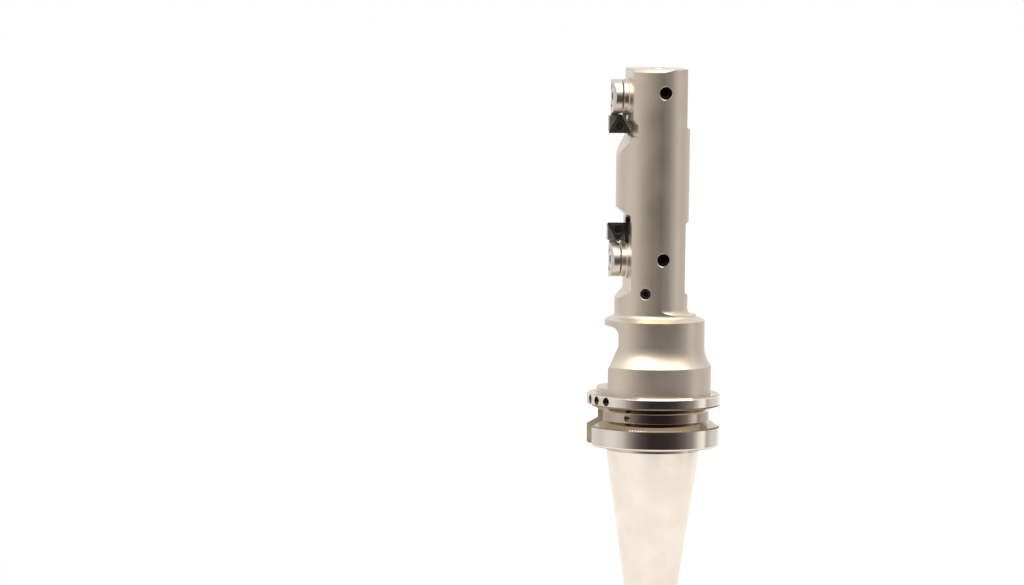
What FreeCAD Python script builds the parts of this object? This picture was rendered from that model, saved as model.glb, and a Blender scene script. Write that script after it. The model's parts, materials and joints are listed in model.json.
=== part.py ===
import FreeCAD, Part
import math
import os
import Sketcher

# Boring bar: a steel bar turned in one piece with its 7/24 taper shank, with two
# micro-adjustable boring units side by side in cross bores.
# Millimetres. The origin is the centre of the taper's small end and +Z runs along the tool
# to its nose. Both units point to -X, and both rake faces look to -Y.

SIZES = [
    # Shank: 7/24 taper, gripper flange and pull stud hole
    ("gauge_diameter", 44.45, "taper at its gauge line"),
    ("taper_length", 65.4, "gauge line to small end"),
    ("taper_rise", 7.0, "the diameter loses this much"),
    ("taper_run", 24.0, "in this much length"),
    ("taper_chamfer", 1.0, "chamfer on the small end"),
    ("neck_diameter", 42.6, "undercut above the taper"),
    ("neck_height", 2.0, "gauge line to flange"),
    ("flange_diameter", 63.0, "gripper flange"),
    ("flange_height", 25.0, "gripper flange, both discs and groove"),
    ("flange_chamfer", 1.0, "outer edges of the flange"),
    ("gripper_centre", 14.6, "middle of the groove above the flange's lower face"),
    ("gripper_floor_diameter", 53.0, "floor of the groove"),
    ("gripper_floor_width", 4.23, "floor of the groove"),
    ("gripper_half_angle", 30.0, "each flank of the groove, in degrees"),
    ("gripper_edge", 0.4, "broken edge at the groove's mouth"),
    ("slot_width", 16.1, "drive slots"),
    ("slot_floor", 22.6, "tool axis to the floor of a drive slot"),
    ("slot_height", 19.6, "drive slots above the flange's lower face"),
    ("stud_drill", 14.0, "tapping drill of the pull stud thread"),
    ("stud_thread_depth", 32.0, "pull stud thread from the small end"),
    ("stud_pilot_diameter", 17.0, "pilot bore at the mouth of the pull stud thread"),
    ("stud_pilot_depth", 6.0, "pilot bore"),
    ("stud_point_angle", 31.0, "slope of the hole's bottom, in degrees"),
    # Collar above the flange
    ("collar_diameter", 54.0, "collar on the flange"),
    ("collar_height", 13.0, "straight part of the collar"),
    ("shoulder_height", 9.7, "hollow shoulder above the collar"),
    ("land_diameter", 47.4, "land above the shoulder"),
    ("land_height", 11.8, "land above the shoulder"),
    ("cone_height", 1.2, "shallow cone on top of the land"),
    ("bar_fillet", 2.0, "foot of the bar"),
    # Bar
    ("bar_diameter", 38.6, "bar"),
    ("nose_height", 180.0, "gauge line to nose"),
    ("nose_chamfer", 1.3, "edge of the nose"),
    ("centre_diameter", 6.3, "centre hole in the nose"),
    ("centre_pilot", 2.5, "pilot of the centre hole"),
    ("centre_depth", 6.5, "centre hole"),
    ("centre_angle", 60.0, "slope of the centre hole's mouth, in degrees"),
    ("relief_shift", 4.5, "axis of the eccentric relief, towards the cutting edges"),
    ("relief_foot", 64.3, "lower end of the relief above the gauge line"),
    ("relief_corner", 3.0, "corner radius at the relief's lower end"),
    ("rear_flat", 12.5, "tool axis to the flats behind the units"),
    # Balance scoop in the collar, below the units
    ("scoop_foot", 2.6, "above the flange"),
    ("scoop_wall", 9.5, "height of its lower wall"),
    ("scoop_slope", 10.9, "height of its slope"),
    ("scoop_top", 8.8, "height above the slope"),
    ("scoop_turn_angle", 12.0, "scoop turned about the tool axis, in degrees"),
    ("scoop_reach", 20.7, "tool axis to the lower wall"),
    ("scoop_depth", 15.9, "tool axis to the upper wall"),
    ("scoop_corner", 4.0, "corner radius under the lip"),
    # Places of the units
    ("upper_height", 166.8, "gauge line to the upper unit's axis"),
    ("unit_spacing", 76.9, "between the two units' axes"),
    ("seat", 13.6, "tool axis to the flat that a unit sits on"),
    ("upper_flat_drop", 18.6, "upper flat below the unit's axis"),
    ("upper_ramp", 8.5, "runout of the upper flat"),
    ("lower_flat_rise", 20.8, "lower flat above the unit's axis"),
    ("lower_flat_drop", 14.1, "lower flat below the unit's axis"),
    ("lower_ramp", 4.3, "runouts of the lower flat"),
    ("rear_upper_drop", 14.1, "upper rear flat below the unit's axis"),
    ("rear_lower_rise", 17.5, "lower rear flat above the unit's axis"),
    ("rear_lower_drop", 15.0, "lower rear flat below the unit's axis"),
    ("rear_ramp", 3.6, "runouts of the rear flats"),
    ("gullet_floor", 11.6, "tool axis to the floor of the chip gullets"),
    ("gullet_start", 11.0, "unit's axis to the gullet"),
    ("gullet_bevel", 1.8, "sloped end of the gullet"),
    ("gullet_back", 5.0, "rake plane to the gullet's back wall"),
    ("lower_gullet_front", 9.0, "rake plane to the lower gullet's front wall"),
    # Guide sleeve
    ("bore_diameter", 12.0, "cross bore for a unit"),
    ("bore_play", 0.02, "between the sleeve and its bore, each side"),
    ("ring_diameter", 17.6, "seating ring of the sleeve"),
    ("ring_width", 1.4, "seating ring"),
    ("step_diameter", 16.2, "scale ring of the sleeve"),
    ("step_width", 2.3, "scale ring"),
    ("ring_edge", 0.3, "edges of the sleeve's rings"),
    ("sleeve_wall", 1.7, "wall that holds the spindle"),
    ("wall_space", 0.8, "slide at rest to that wall"),
    ("slide_diameter", 8.0, "slide"),
    ("slide_play", 0.02, "running clearance of the slide, each side"),
    ("plug_diameter", 8.5, "plug in the sleeve's rear end"),
    ("plug_length", 2.5, "plug"),
    ("thread_play", 0.05, "between the two threads of a screwed joint, each side"),
    # Dial and spindle
    ("dial_gap", 0.2, "between scale ring and dial"),
    ("dial_diameter", 10.4, "dial"),
    ("dial_width", 4.2, "dial"),
    ("dial_bevel", 0.3, "bevel of the dial's face"),
    ("dial_socket", 4.0, "hexagon socket across its flats"),
    ("dial_socket_depth", 2.6, "hexagon socket"),
    ("spindle_diameter", 4.0, "threaded spindle of the dial"),
    ("tail_diameter", 2.5, "tail of the spindle"),
    ("tail_groove", 2.0, "groove for the retaining ring"),
    ("tail_end", 0.5, "tail past the retaining ring"),
    ("tail_gap", 0.3, "tail to the plug"),
    ("spindle_gap", 0.4, "sleeve's wall to the spindle's step"),
    ("clip_diameter", 6.0, "retaining ring"),
    ("clip_width", 0.5, "retaining ring"),
    ("clip_play", 0.05, "retaining ring to wall, groove and tail"),
    # Guard round the dial
    ("guard_gap", 0.6, "scale ring to the guard, more than the slide's inward travel"),
    ("guard_diameter", 16.2, "guard"),
    ("guard_play", 0.1, "dial to the guard, each side"),
    ("guard_circle", 44.6, "diameter about the tool axis that the guard's face is turned to"),
    ("guard_arm", 4.2, "unit's axis to the arm's root in the guard"),
    # Slide neck, foot and insert holder
    ("neck_start", 0.7, "seat to the slide's neck"),
    ("neck_width", 2.2, "neck along the travel"),
    ("neck_front", 0.8, "rake plane to the front of the neck"),
    ("foot_thickness", 2.2, "foot behind the holder"),
    ("foot_reach", 21.6, "tool axis to the foot's outer end"),
    ("foot_drop", 15.6, "unit's axis to the foot's end"),
    ("neck_play", 0.1, "between neck and slot, each side"),
    ("slot_start", 0.1, "seat to the slot in the sleeve"),
    ("holder_top", 9.0, "unit's axis to the holder"),
    ("holder_drop", 16.7, "unit's axis to the holder's end"),
    ("holder_reach", 22.9, "tool axis to the holder's outer side"),
    ("holder_shoulder", 15.6, "tool axis to the holder's inner shoulder"),
    ("holder_inner", 12.9, "tool axis to the holder's inner side"),
    ("holder_slant", 14.8, "unit's axis to the end of the slanted side"),
    ("holder_front", 0.3, "rake plane to the holder's front"),
    ("holder_back", 4.4, "rake plane to the holder's back"),
    ("holder_edge", 0.4, "edges of the holder"),
    ("holder_screw", 2.0, "screws of the foot"),
    ("holder_screw_head", 3.4, "heads of those screws"),
    ("holder_screw_inner", 16.4, "tool axis to the inner screw"),
    ("holder_screw_outer", 20.9, "tool axis to the outer screw"),
    ("holder_screw_drop", 11.0, "unit's axis to both screws"),
    ("holder_screw_depth", 1.4, "screws into the holder"),
    ("holder_hole_space", 0.2, "tapped holes past the screws' ends"),
    ("foot_sink", 1.1, "depth of the sinks for the screws' heads"),
    # Cutting insert
    ("edge_drop", 17.4, "unit's axis to the cutting edge"),
    ("insert_circle", 6.35, "inscribed circle"),
    ("insert_thickness", 2.38, "insert"),
    ("insert_corner", 0.4, "nose radius"),
    ("insert_clearance_angle", 7.0, "clearance angle, in degrees"),
    ("insert_reach", 23.5, "tool axis to the insert's sharp corner"),
    ("insert_hole", 2.8, "screw hole"),
    ("insert_sink", 3.8, "countersink of the screw hole"),
    ("insert_sink_depth", 1.1, "countersink"),
    ("insert_play", 0.08, "insert to the walls of its pocket"),
    ("insert_screw", 2.5, "insert screw"),
    ("insert_head", 3.4, "head of the insert screw"),
    ("insert_head_edge", 0.05, "straight edge of the head"),
    ("insert_screw_end", 4.1, "rake plane to the screw's end"),
    ("insert_head_sunk", 0.25, "rake plane to the screw's head"),
    # Screws, pads and pins round the units
    ("draw_screw", 4.0, "draw screw behind the sleeve"),
    ("draw_head", 7.6, "its head"),
    ("draw_head_height", 2.2, "its head"),
    ("draw_length", 4.3, "its shank"),
    ("draw_socket", 2.5, "hexagon socket across its flats"),
    ("draw_socket_depth", 1.3, "hexagon socket"),
    ("draw_crown", 0.7, "bevel round the head"),
    ("washer_diameter", 8.0, "spring washer"),
    ("washer_height", 0.6, "spring washer"),
    ("washer_dish", 0.2, "dish of the spring washer"),
    ("recess_play", 0.3, "head and washer in the recess, each side"),
    ("rear_wall", 1.4, "wall between recess and cross bore"),
    ("bore_end_gap", 0.1, "sleeve to the bottom of its bore"),
    ("clamp_screw", 5.9, "clamp screw"),
    ("clamp_hole", 6.0, "its tapped hole"),
    ("clamp_rim", 0.45, "chamfer of the hole's rim"),
    ("clamp_sunk", 4.3, "bar's side to the clamp screw"),
    ("clamp_length", 6.0, "clamp screw"),
    ("clamp_socket", 3.0, "hexagon socket across its flats"),
    ("clamp_socket_depth", 3.0, "hexagon socket"),
    ("clamp_aside", 0.8, "tool axis to the clamp screws, away from the units"),
    ("clamp_rise_upper", 2.3, "clamp screw above the upper unit's axis"),
    ("clamp_rise_lower", 1.0, "clamp screw above the lower unit's axis"),
    ("pad_diameter", 3.6, "brass pad under the clamp screw"),
    ("pad_start", 2.6, "tool axis to the pad's inner end"),
    ("pad_play", 0.1, "pad in its hole, each side"),
    ("pad_gap", 0.05, "pad to the slide"),
    ("pin_diameter", 1.5, "locating pin of the upper sleeve"),
    ("pin_offset", 7.2, "unit's axis to the pin"),
    ("pin_depth", 2.0, "pin in the bar"),
    ("key_width", 2.8, "key plate of the lower sleeve"),
    ("key_front", 3.2, "rake plane to the key plate's front"),
    ("key_start", 7.4, "unit's axis to the key plate"),
    ("key_end", 20.2, "unit's axis to the key plate's far end"),
    ("key_play", 0.1, "key plate in its notch"),
    ("key_screw", 1.6, "screw of the key plate"),
    ("key_screw_place", 18.6, "unit's axis to that screw"),
    ("key_screw_length", 4.0, "screw of the key plate"),
    # Screws in the bar and the flange
    ("grub_diameter", 5.0, "grub screw low on the bar"),
    ("grub_height", 74.9, "gauge line to the grub screw"),
    ("grub_angle", 22.5, "from -Y towards -X, in degrees"),
    ("grub_length", 5.0, "grub screw"),
    ("grub_sunk", 0.3, "grub screw below the surface"),
    ("grub_rim", 0.25, "chamfer of its hole's rim"),
    ("grub_socket", 2.5, "hexagon socket across its flats"),
    ("grub_socket_depth", 2.5, "hexagon socket"),
    ("balance_diameter", 4.0, "balancing screws in the flange"),
    ("balance_height", 22.2, "above the flange's lower face"),
    ("balance_first_angle", 10.0, "first one from -X, in degrees"),
    ("balance_step_angle", 13.0, "between them, in degrees"),
    ("balance_sunk", 1.4, "balancing screws below the rim"),
    ("balance_length", 4.0, "balancing screws"),
    ("balance_socket", 2.0, "socket across"),
    ("balance_socket_depth", 2.0, "socket"),
    ("mark_diameter", 3.0, "blind hole in the gripper groove"),
    ("mark_depth", 3.0, "blind hole"),
    ("mark_angle", 36.7, "from -Y towards -X, in degrees"),
]

# Cuts run this far past the surface they open on.
PAST = 1.0

os.makedirs("parts", exist_ok=True)
doc = FreeCAD.newDocument("boring_bar")
sheet = doc.addObject("Spreadsheet::Sheet", "sizes")
for row, (name, number, note) in enumerate(SIZES, start=1):
    sheet.set(f"A{row}", name)
    sheet.set(f"B{row}", str(number))
    sheet.set(f"C{row}", note)
    sheet.setAlias(f"B{row}", name)
doc.recompute()


class Size:
    """A number together with the sheet formula that it comes from."""

    def __init__(self, number, formula):
        self.number = number
        self.formula = formula

    def __add__(self, other):
        other = as_size(other)
        return Size(self.number + other.number, f"({self.formula} + {other.formula})")

    def __radd__(self, other):
        return as_size(other) + self

    def __sub__(self, other):
        other = as_size(other)
        return Size(self.number - other.number, f"({self.formula} - {other.formula})")

    def __rsub__(self, other):
        return as_size(other) - self

    def __mul__(self, other):
        other = as_size(other)
        return Size(self.number * other.number, f"({self.formula} * {other.formula})")

    def __rmul__(self, other):
        return as_size(other) * self

    def __truediv__(self, other):
        other = as_size(other)
        return Size(self.number / other.number, f"({self.formula} / {other.formula})")

    def __neg__(self):
        return Size(-self.number, f"(0 - {self.formula})")


def as_size(value):
    """A plain number written as a Size."""
    if isinstance(value, Size):
        return value
    return Size(float(value), f"({float(value)})")


def root(value):
    return Size(math.sqrt(value.number), f"sqrt({value.formula})")


def tangent(angle):
    return Size(math.tan(math.radians(angle.number)), f"tan({angle.formula})")


def s(name):
    """One driving dimension, by its alias in the sheet."""
    return Size(float(sheet.get(name)), f"sizes.{name}")


def half(name):
    """Half of a driving dimension, such as the radius of a diameter."""
    return s(name) / 2


# Levels along the tool, measured from the small end
gauge = s("taper_length")
flange_foot = gauge + s("neck_height")
flange_top = flange_foot + s("flange_height")
collar_top = flange_top + s("collar_height")
land_foot = collar_top + s("shoulder_height")
land_top = land_foot + s("land_height")
cone_top = land_top + s("cone_height")
nose = gauge + s("nose_height")
upper_axis = gauge + s("upper_height")
lower_axis = upper_axis - s("unit_spacing")

# Reaches along a unit, measured from the tool axis towards -X
ring_face = s("seat") + s("ring_width")
step_face = ring_face + s("step_width")
dial_back = step_face + s("dial_gap")
dial_face = dial_back + s("dial_width")
recess_floor = -(s("rear_flat") - s("washer_height") - s("draw_head_height"))
bore_bottom = recess_floor + s("rear_wall")
sleeve_rear = bore_bottom + s("bore_end_gap")
plug_face = sleeve_rear + s("plug_length")
tail_tip = plug_face + s("tail_gap")
clip_rear = tail_tip + s("tail_end")
clip_front = clip_rear + s("clip_width")
wall_rear = clip_front + s("clip_play")
wall_front = wall_rear + s("sleeve_wall")
slide_rear = wall_front + s("wall_space")
neck_inner = s("seat") + s("neck_start")
neck_outer = neck_inner + s("neck_width")
foot_back = s("holder_back") + s("foot_thickness")
guard_back = step_face + s("guard_gap")
insert_middle = s("insert_reach") - half("insert_circle") * root(as_size(3))


def new_body(name):
    """One piece of the tool, as its own body."""
    body = doc.addObject("PartDesign::Body", name)
    body.Label = name
    return body


def new_sketch(body, name, role, shift=0, angle=0, aside=0):
    """A sketch on one of the body's origin planes, moved along its normal, turned and set aside."""
    sketch = body.newObject("Sketcher::SketchObject", f"{body.Name}_{name}")
    plane = [item for item in body.Origin.OriginFeatures if item.Role == role][0]
    sketch.AttachmentSupport = [(plane, "")]
    sketch.MapMode = "FlatFace"
    turn = FreeCAD.Rotation(FreeCAD.Vector(0, 0, 1), as_size(angle).number)
    sketch.AttachmentOffset = FreeCAD.Placement(FreeCAD.Vector(), turn)
    sketch.setExpression("AttachmentOffset.Base.x", as_size(aside).formula)
    sketch.setExpression("AttachmentOffset.Base.z", as_size(shift).formula)
    if isinstance(angle, Size):
        sketch.setExpression("AttachmentOffset.Rotation.Angle", angle.formula)
    return sketch


def measure(sketch, kind, item, end, value):
    """Fix one coordinate of a point, across or up from the sketch's origin."""
    value = as_size(value)
    if value.number == 0:
        axis = {"DistanceX": -2, "DistanceY": -1}[kind]
        sketch.addConstraint(Sketcher.Constraint("PointOnObject", item, end, axis))
        return
    index = sketch.addConstraint(Sketcher.Constraint(kind, -1, 1, item, end, value.number))
    sketch.setExpression(f"Constraints[{index}]", value.formula)


def arc_between(start, end, radius, turn):
    """The arc of a radius from start to end that turns left (1) or right (-1)."""
    chord = end - start
    middle = (start + end) * 0.5
    rise = math.sqrt(max(radius * radius - chord.Length * chord.Length / 4, 0.0))
    left = FreeCAD.Vector(-chord.y, chord.x, 0).normalize()
    centre = middle + left * (rise * turn)
    circle = Part.Circle(centre, FreeCAD.Vector(0, 0, 1), radius)
    first, last = (start, end) if turn > 0 else (end, start)
    return Part.ArcOfCircle(circle, circle.parameter(first), circle.parameter(last))


def outline(sketch, corners, arcs=None):
    """A closed outline through (across, up) corners; arcs maps a side to its (radius, turn)."""
    arcs = arcs or {}
    corners = [(as_size(across), as_size(up)) for across, up in corners]
    points = [FreeCAD.Vector(across.number, up.number, 0) for across, up in corners]
    sides = []
    for index, start in enumerate(points):
        end = points[(index + 1) % len(points)]
        if index in arcs:
            radius, turn = arcs[index]
            item = sketch.addGeometry(arc_between(start, end, radius.number, turn), False)
            sides.append((item, 1, 2) if turn > 0 else (item, 2, 1))
        else:
            item = sketch.addGeometry(Part.LineSegment(start, end), False)
            sides.append((item, 1, 2))
    for index, (item, start, end) in enumerate(sides):
        following, its_start, its_end = sides[(index + 1) % len(sides)]
        sketch.addConstraint(Sketcher.Constraint("Coincident", item, end, following, its_start))
    for (item, start, end), (across, up) in zip(sides, corners):
        measure(sketch, "DistanceX", item, start, across)
        measure(sketch, "DistanceY", item, start, up)
    for index, (radius, turn) in arcs.items():
        mark = sketch.addConstraint(Sketcher.Constraint("Radius", sides[index][0], radius.number))
        sketch.setExpression(f"Constraints[{mark}]", radius.formula)


def circle(sketch, across, up, radius):
    """A full circle at a named place."""
    across = as_size(across)
    up = as_size(up)
    centre = FreeCAD.Vector(across.number, up.number, 0)
    item = sketch.addGeometry(Part.Circle(centre, FreeCAD.Vector(0, 0, 1), radius.number), False)
    measure(sketch, "DistanceX", item, 3, across)
    measure(sketch, "DistanceY", item, 3, up)
    mark = sketch.addConstraint(Sketcher.Constraint("Radius", item, radius.number))
    sketch.setExpression(f"Constraints[{mark}]", radius.formula)


def finish(body, feature, grows):
    """Recompute after a feature and make sure that it added or removed material."""
    before = feature.BaseFeature.Shape.Volume if feature.BaseFeature else 0.0
    doc.recompute()
    change = feature.Shape.Volume - before
    if (change > 0) != grows or change == 0:
        raise RuntimeError(f"{feature.Name} changed the volume of {body.Name} by {change}")
    body.Tip = feature


def revolve(body, name, sketch, axis, grows=True):
    """Turn a sketch about its own vertical (V) or horizontal (H) axis, adding or removing."""
    kind = "PartDesign::Revolution" if grows else "PartDesign::Groove"
    feature = body.newObject(kind, f"{body.Name}_{name}")
    feature.Profile = sketch
    feature.ReferenceAxis = (sketch, [f"{axis}_Axis"])
    feature.Angle = 360.0
    finish(body, feature, grows)
    return feature


def pad(body, name, sketch, length, backwards=False, both_ways=False, taper=None):
    """Extrude a sketch into material."""
    return extrude("PartDesign::Pad", body, name, sketch, length, backwards, both_ways, taper)


def pocket(body, name, sketch, length, backwards=False, both_ways=False):
    """Cut a sketch out of the material."""
    return extrude("PartDesign::Pocket", body, name, sketch, length, backwards, both_ways, None)


def extrude(kind, body, name, sketch, length, backwards, both_ways, taper):
    feature = body.newObject(kind, f"{body.Name}_{name}")
    feature.Profile = sketch
    feature.Reversed = backwards
    feature.SideType = "Symmetric" if both_ways else "One side"
    feature.setExpression("Length", as_size(length).formula)
    if taper is not None:
        feature.setExpression("TaperAngle", taper.formula)
    finish(body, feature, kind == "PartDesign::Pad")
    return feature


def turned(name, corners):
    """A body turned about the X axis from (reach, radius) corners, its reach counted to -X."""
    body = new_body(name)
    sketch = new_sketch(body, "section", "XZ_Plane")
    outline(sketch, [(-as_size(reach), radius) for reach, radius in corners])
    revolve(body, "turning", sketch, "H")
    return body


def radial_hole(body, name, height, angle, corners, aside=0):
    """Bore a hole along a ray from the tool axis, its (reach, radius) corners turned about it."""
    sketch = new_sketch(body, f"{name}_section", "XY_Plane", shift=height, angle=angle,
                        aside=aside)
    outline(sketch, corners)
    revolve(body, name, sketch, "H", grows=False)


def hexagon_socket(body, face, across_flats, depth, from_front=True):
    """Sink a hexagon socket into a turned body, through its front or its rear face."""
    sketch = new_sketch(body, "socket_section", "YZ_Plane", shift=-as_size(face))
    side = across_flats / 2
    point = across_flats / root(as_size(3))
    outline(sketch, [
        (0, point), (-side, point / 2), (-side, -(point / 2)),
        (0, -point), (side, -(point / 2)), (side, point / 2),
    ])
    pocket(body, "socket", sketch, depth, backwards=from_front)


def place(body, height, angle=0, aside=0):
    """Put a body at its height on the tool and turn it about the tool axis from -X."""
    turn = FreeCAD.Rotation(FreeCAD.Vector(0, 0, 1), as_size(angle).number)
    body.Placement = FreeCAD.Placement(FreeCAD.Vector(), turn)
    body.setExpression("Placement.Base.x", as_size(aside).formula)
    body.setExpression("Placement.Base.z", as_size(height).formula)
    if isinstance(angle, Size):
        body.setExpression("Placement.Rotation.Angle", angle.formula)


def edges_along(feature, direction, chosen=None):
    """Names of a feature's edges that lead from end to end mostly along a direction."""
    names = []
    for index, edge in enumerate(feature.Shape.Edges, start=1):
        if len(edge.Vertexes) < 2:
            continue
        span = edge.Vertexes[1].Point - edge.Vertexes[0].Point
        if abs(span.dot(direction)) < 0.9 * edge.Length:
            continue
        if chosen is None or chosen(edge.CenterOfMass):
            names.append(f"Edge{index}")
    return names


def round_edges(body, name, names, radius, kind="PartDesign::Fillet"):
    """Fillet or chamfer the named edges of the body's last feature."""
    base = body.Tip
    feature = body.newObject(kind, f"{body.Name}_{name}")
    feature.Base = (base, names)
    feature.setExpression("Radius" if kind.endswith("Fillet") else "Size", radius.formula)
    doc.recompute()
    body.Tip = feature
    return feature


def turned_bar(body):
    """Taper, flange, collar, shoulder, land and bar in one turned profile."""
    small = (s("gauge_diameter") - s("taper_length") * s("taper_rise") / s("taper_run")) / 2
    chamfer = s("taper_chamfer")
    chamfer_radius = small + chamfer * s("taper_rise") / s("taper_run") / 2
    rim = half("flange_diameter")
    edge = s("flange_chamfer")
    floor = half("gripper_floor_diameter")
    middle = flange_foot + s("gripper_centre")
    floor_half = half("gripper_floor_width")
    mouth_half = floor_half + (rim - floor) * tangent(s("gripper_half_angle"))
    lip = s("gripper_edge")
    corners = [
        (0, 0),
        (small - chamfer, 0),
        (chamfer_radius, chamfer),
        (half("gauge_diameter"), gauge),
        (half("neck_diameter"), gauge),
        (half("neck_diameter"), flange_foot),
        (rim - edge, flange_foot),
        (rim, flange_foot + edge),
        (rim, middle - mouth_half - lip),
        (rim - lip, middle - mouth_half + lip * tangent(s("gripper_half_angle"))),
        (floor, middle - floor_half),
        (floor, middle + floor_half),
        (rim - lip, middle + mouth_half - lip * tangent(s("gripper_half_angle"))),
        (rim, middle + mouth_half + lip),
        (rim, flange_top - edge),
        (rim - edge, flange_top),
        (half("collar_diameter"), flange_top),
        (half("collar_diameter"), collar_top),
        (half("land_diameter"), land_foot),
        (half("land_diameter"), land_top),
        (half("bar_diameter") + s("bar_fillet"), cone_top),
        (half("bar_diameter"), cone_top + s("bar_fillet")),
        (half("bar_diameter"), nose - s("nose_chamfer")),
        (half("bar_diameter") - s("nose_chamfer"), nose),
        (0, nose),
    ]
    step = half("collar_diameter") - half("land_diameter")
    rise = s("shoulder_height")
    hollow = (step * step + rise * rise) / (step * 2)
    hollow_side = 17
    fillet_side = 20
    sketch = new_sketch(body, "profile", "XZ_Plane")
    outline(sketch, corners, {hollow_side: (hollow, -1), fillet_side: (s("bar_fillet"), -1)})
    revolve(body, "turning", sketch, "V")


def end_holes(body):
    """Pull stud hole in the small end and centre hole in the nose."""
    sketch = new_sketch(body, "stud_section", "XZ_Plane")
    drill = half("stud_drill")
    pilot = half("stud_pilot_diameter")
    depth = s("stud_thread_depth")
    point = drill * tangent(s("stud_point_angle"))
    outline(sketch, [
        (0, -PAST), (pilot, -PAST), (pilot, s("stud_pilot_depth")),
        (drill, s("stud_pilot_depth")), (drill, depth), (0, depth + point),
    ])
    revolve(body, "stud_hole", sketch, "V", grows=False)
    sketch = new_sketch(body, "centre_section", "XZ_Plane")
    mouth = half("centre_diameter")
    pilot = half("centre_pilot")
    slope = (mouth - pilot) * tangent(s("centre_angle"))
    outline(sketch, [
        (0, nose + PAST), (0, nose - s("centre_depth")), (pilot, nose - s("centre_depth")),
        (pilot, nose - slope), (mouth, nose), (mouth, nose + PAST),
    ])
    revolve(body, "centre_hole", sketch, "V", grows=False)


def eccentric_relief(body):
    """The rear half of the bar, turned about an axis set towards the cutting edges."""
    shift = s("relief_shift")
    bar = half("bar_diameter")
    radius = root(bar * bar + shift * shift)
    foot = gauge + s("relief_foot")
    corner = s("relief_corner")
    sketch = new_sketch(body, "relief_section", "XZ_Plane", aside=-shift)
    outline(sketch, [
        (radius, nose + PAST),
        (radius, foot + corner),
        (radius + corner, foot),
        (radius + shift + corner, foot),
        (radius + shift + corner, nose + PAST),
    ], {1: (corner, 1)})
    revolve(body, "relief", sketch, "V", grows=False)


def side_cut(body, name, corners):
    """Cut an outline in the plane of the tool axis and the units right through the bar."""
    sketch = new_sketch(body, f"{name}_section", "XZ_Plane")
    outline(sketch, corners)
    pocket(body, name, sketch, s("flange_diameter"), both_ways=True)


def flat_cut(body, name, side, depth, foot, top, foot_ramp, top_ramp):
    """A milled flat on one side (-1 front, 1 rear); a ramp of None is an open end."""
    bar = half("bar_diameter")
    outer = bar + PAST
    stretch = (outer - depth) / (bar - depth)
    corners = [(side * outer, foot - foot_ramp * stretch), (side * depth, foot)]
    if top_ramp is None:
        corners += [(side * depth, top + PAST), (side * outer, top + PAST)]
    else:
        corners += [(side * depth, top), (side * outer, top + top_ramp * stretch)]
    side_cut(body, name, corners)


def unit_flats(body):
    """Flats that the units sit on, and the flats behind them for the draw screws."""
    seat = s("seat")
    rear = s("rear_flat")
    flat_cut(body, "upper_flat", -1, seat, upper_axis - s("upper_flat_drop"), nose,
             s("upper_ramp"), None)
    flat_cut(body, "lower_flat", -1, seat, lower_axis - s("lower_flat_drop"),
             lower_axis + s("lower_flat_rise"), s("lower_ramp"), s("lower_ramp"))
    flat_cut(body, "upper_rear_flat", 1, rear, upper_axis - s("rear_upper_drop"), nose,
             s("rear_ramp"), None)
    flat_cut(body, "lower_rear_flat", 1, rear, lower_axis - s("rear_lower_drop"),
             lower_axis + s("rear_lower_rise"), s("rear_ramp"), s("rear_ramp"))


def chip_gullets(body):
    """Recesses beside the inserts; the upper one is open towards -Y."""
    bevel = s("gullet_bevel")
    floor = -s("gullet_floor")
    out = -(s("seat") + PAST)
    start = upper_axis - s("gullet_start")
    end = upper_axis - s("upper_flat_drop")
    sketch = new_sketch(body, "upper_gullet_section", "XZ_Plane", shift=-s("gullet_back"))
    outline(sketch, [(out, start + bevel), (floor, start - bevel), (floor, end), (out, end)])
    pocket(body, "upper_gullet", sketch, half("flange_diameter"), backwards=True)
    start = lower_axis + s("gullet_start")
    end = lower_axis + s("lower_flat_rise")
    sketch = new_sketch(body, "lower_gullet_section", "XZ_Plane", shift=-s("gullet_back"))
    outline(sketch, [(out, start - bevel), (floor, start + bevel), (floor, end), (out, end)])
    length = s("gullet_back") + s("lower_gullet_front")
    pocket(body, "lower_gullet", sketch, length, backwards=True)


def balance_scoop(body):
    """A scoop across the collar and the land, under a thin lip."""
    foot = flange_top + s("scoop_foot")
    wall = foot + s("scoop_wall")
    slope = wall + s("scoop_slope")
    top = slope + s("scoop_top")
    corner = s("scoop_corner")
    reach = -s("scoop_reach")
    depth = -s("scoop_depth")
    out = -(half("collar_diameter") + PAST)
    turn = s("scoop_turn_angle")
    sketch = new_sketch(body, "scoop_section", "XZ_Plane")
    rotation = FreeCAD.Rotation(FreeCAD.Vector(0, -1, 0), turn.number)
    sketch.AttachmentOffset = FreeCAD.Placement(FreeCAD.Vector(), rotation)
    sketch.setExpression("AttachmentOffset.Rotation.Angle", turn.formula)
    outline(sketch, [
        (out, foot), (reach, foot), (reach, wall), (depth, slope), (depth, top - corner),
        (depth - corner, top), (out, top),
    ], {4: (corner, 1)})
    pocket(body, "scoop", sketch, s("flange_diameter"), both_ways=True)


def drive_slots(body):
    """Two slots through the lower disc and the groove of the flange."""
    sketch = new_sketch(body, "slot_section", "XY_Plane", shift=flange_foot)
    inner = s("slot_floor")
    outer = half("flange_diameter") + PAST
    side = half("slot_width")
    outline(sketch, [(inner, -side), (outer, -side), (outer, side), (inner, side)])
    outline(sketch, [(-outer, -side), (-inner, -side), (-inner, side), (-outer, side)])
    pocket(body, "drive_slots", sketch, s("slot_height"), backwards=True)


def cross_bore(body, name, height):
    """Stepped bore for one unit, from its seat through to the recess behind."""
    bore = half("bore_diameter")
    passage = half("draw_screw") + s("recess_play")
    recess = half("washer_diameter") + s("recess_play")
    rear = -(s("rear_flat") + PAST)
    front = s("seat") + PAST
    radial_hole(body, name, height, 180, [
        (rear, 0), (rear, recess), (recess_floor, recess), (recess_floor, passage),
        (bore_bottom, passage), (bore_bottom, bore), (front, bore), (front, 0),
    ])


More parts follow.
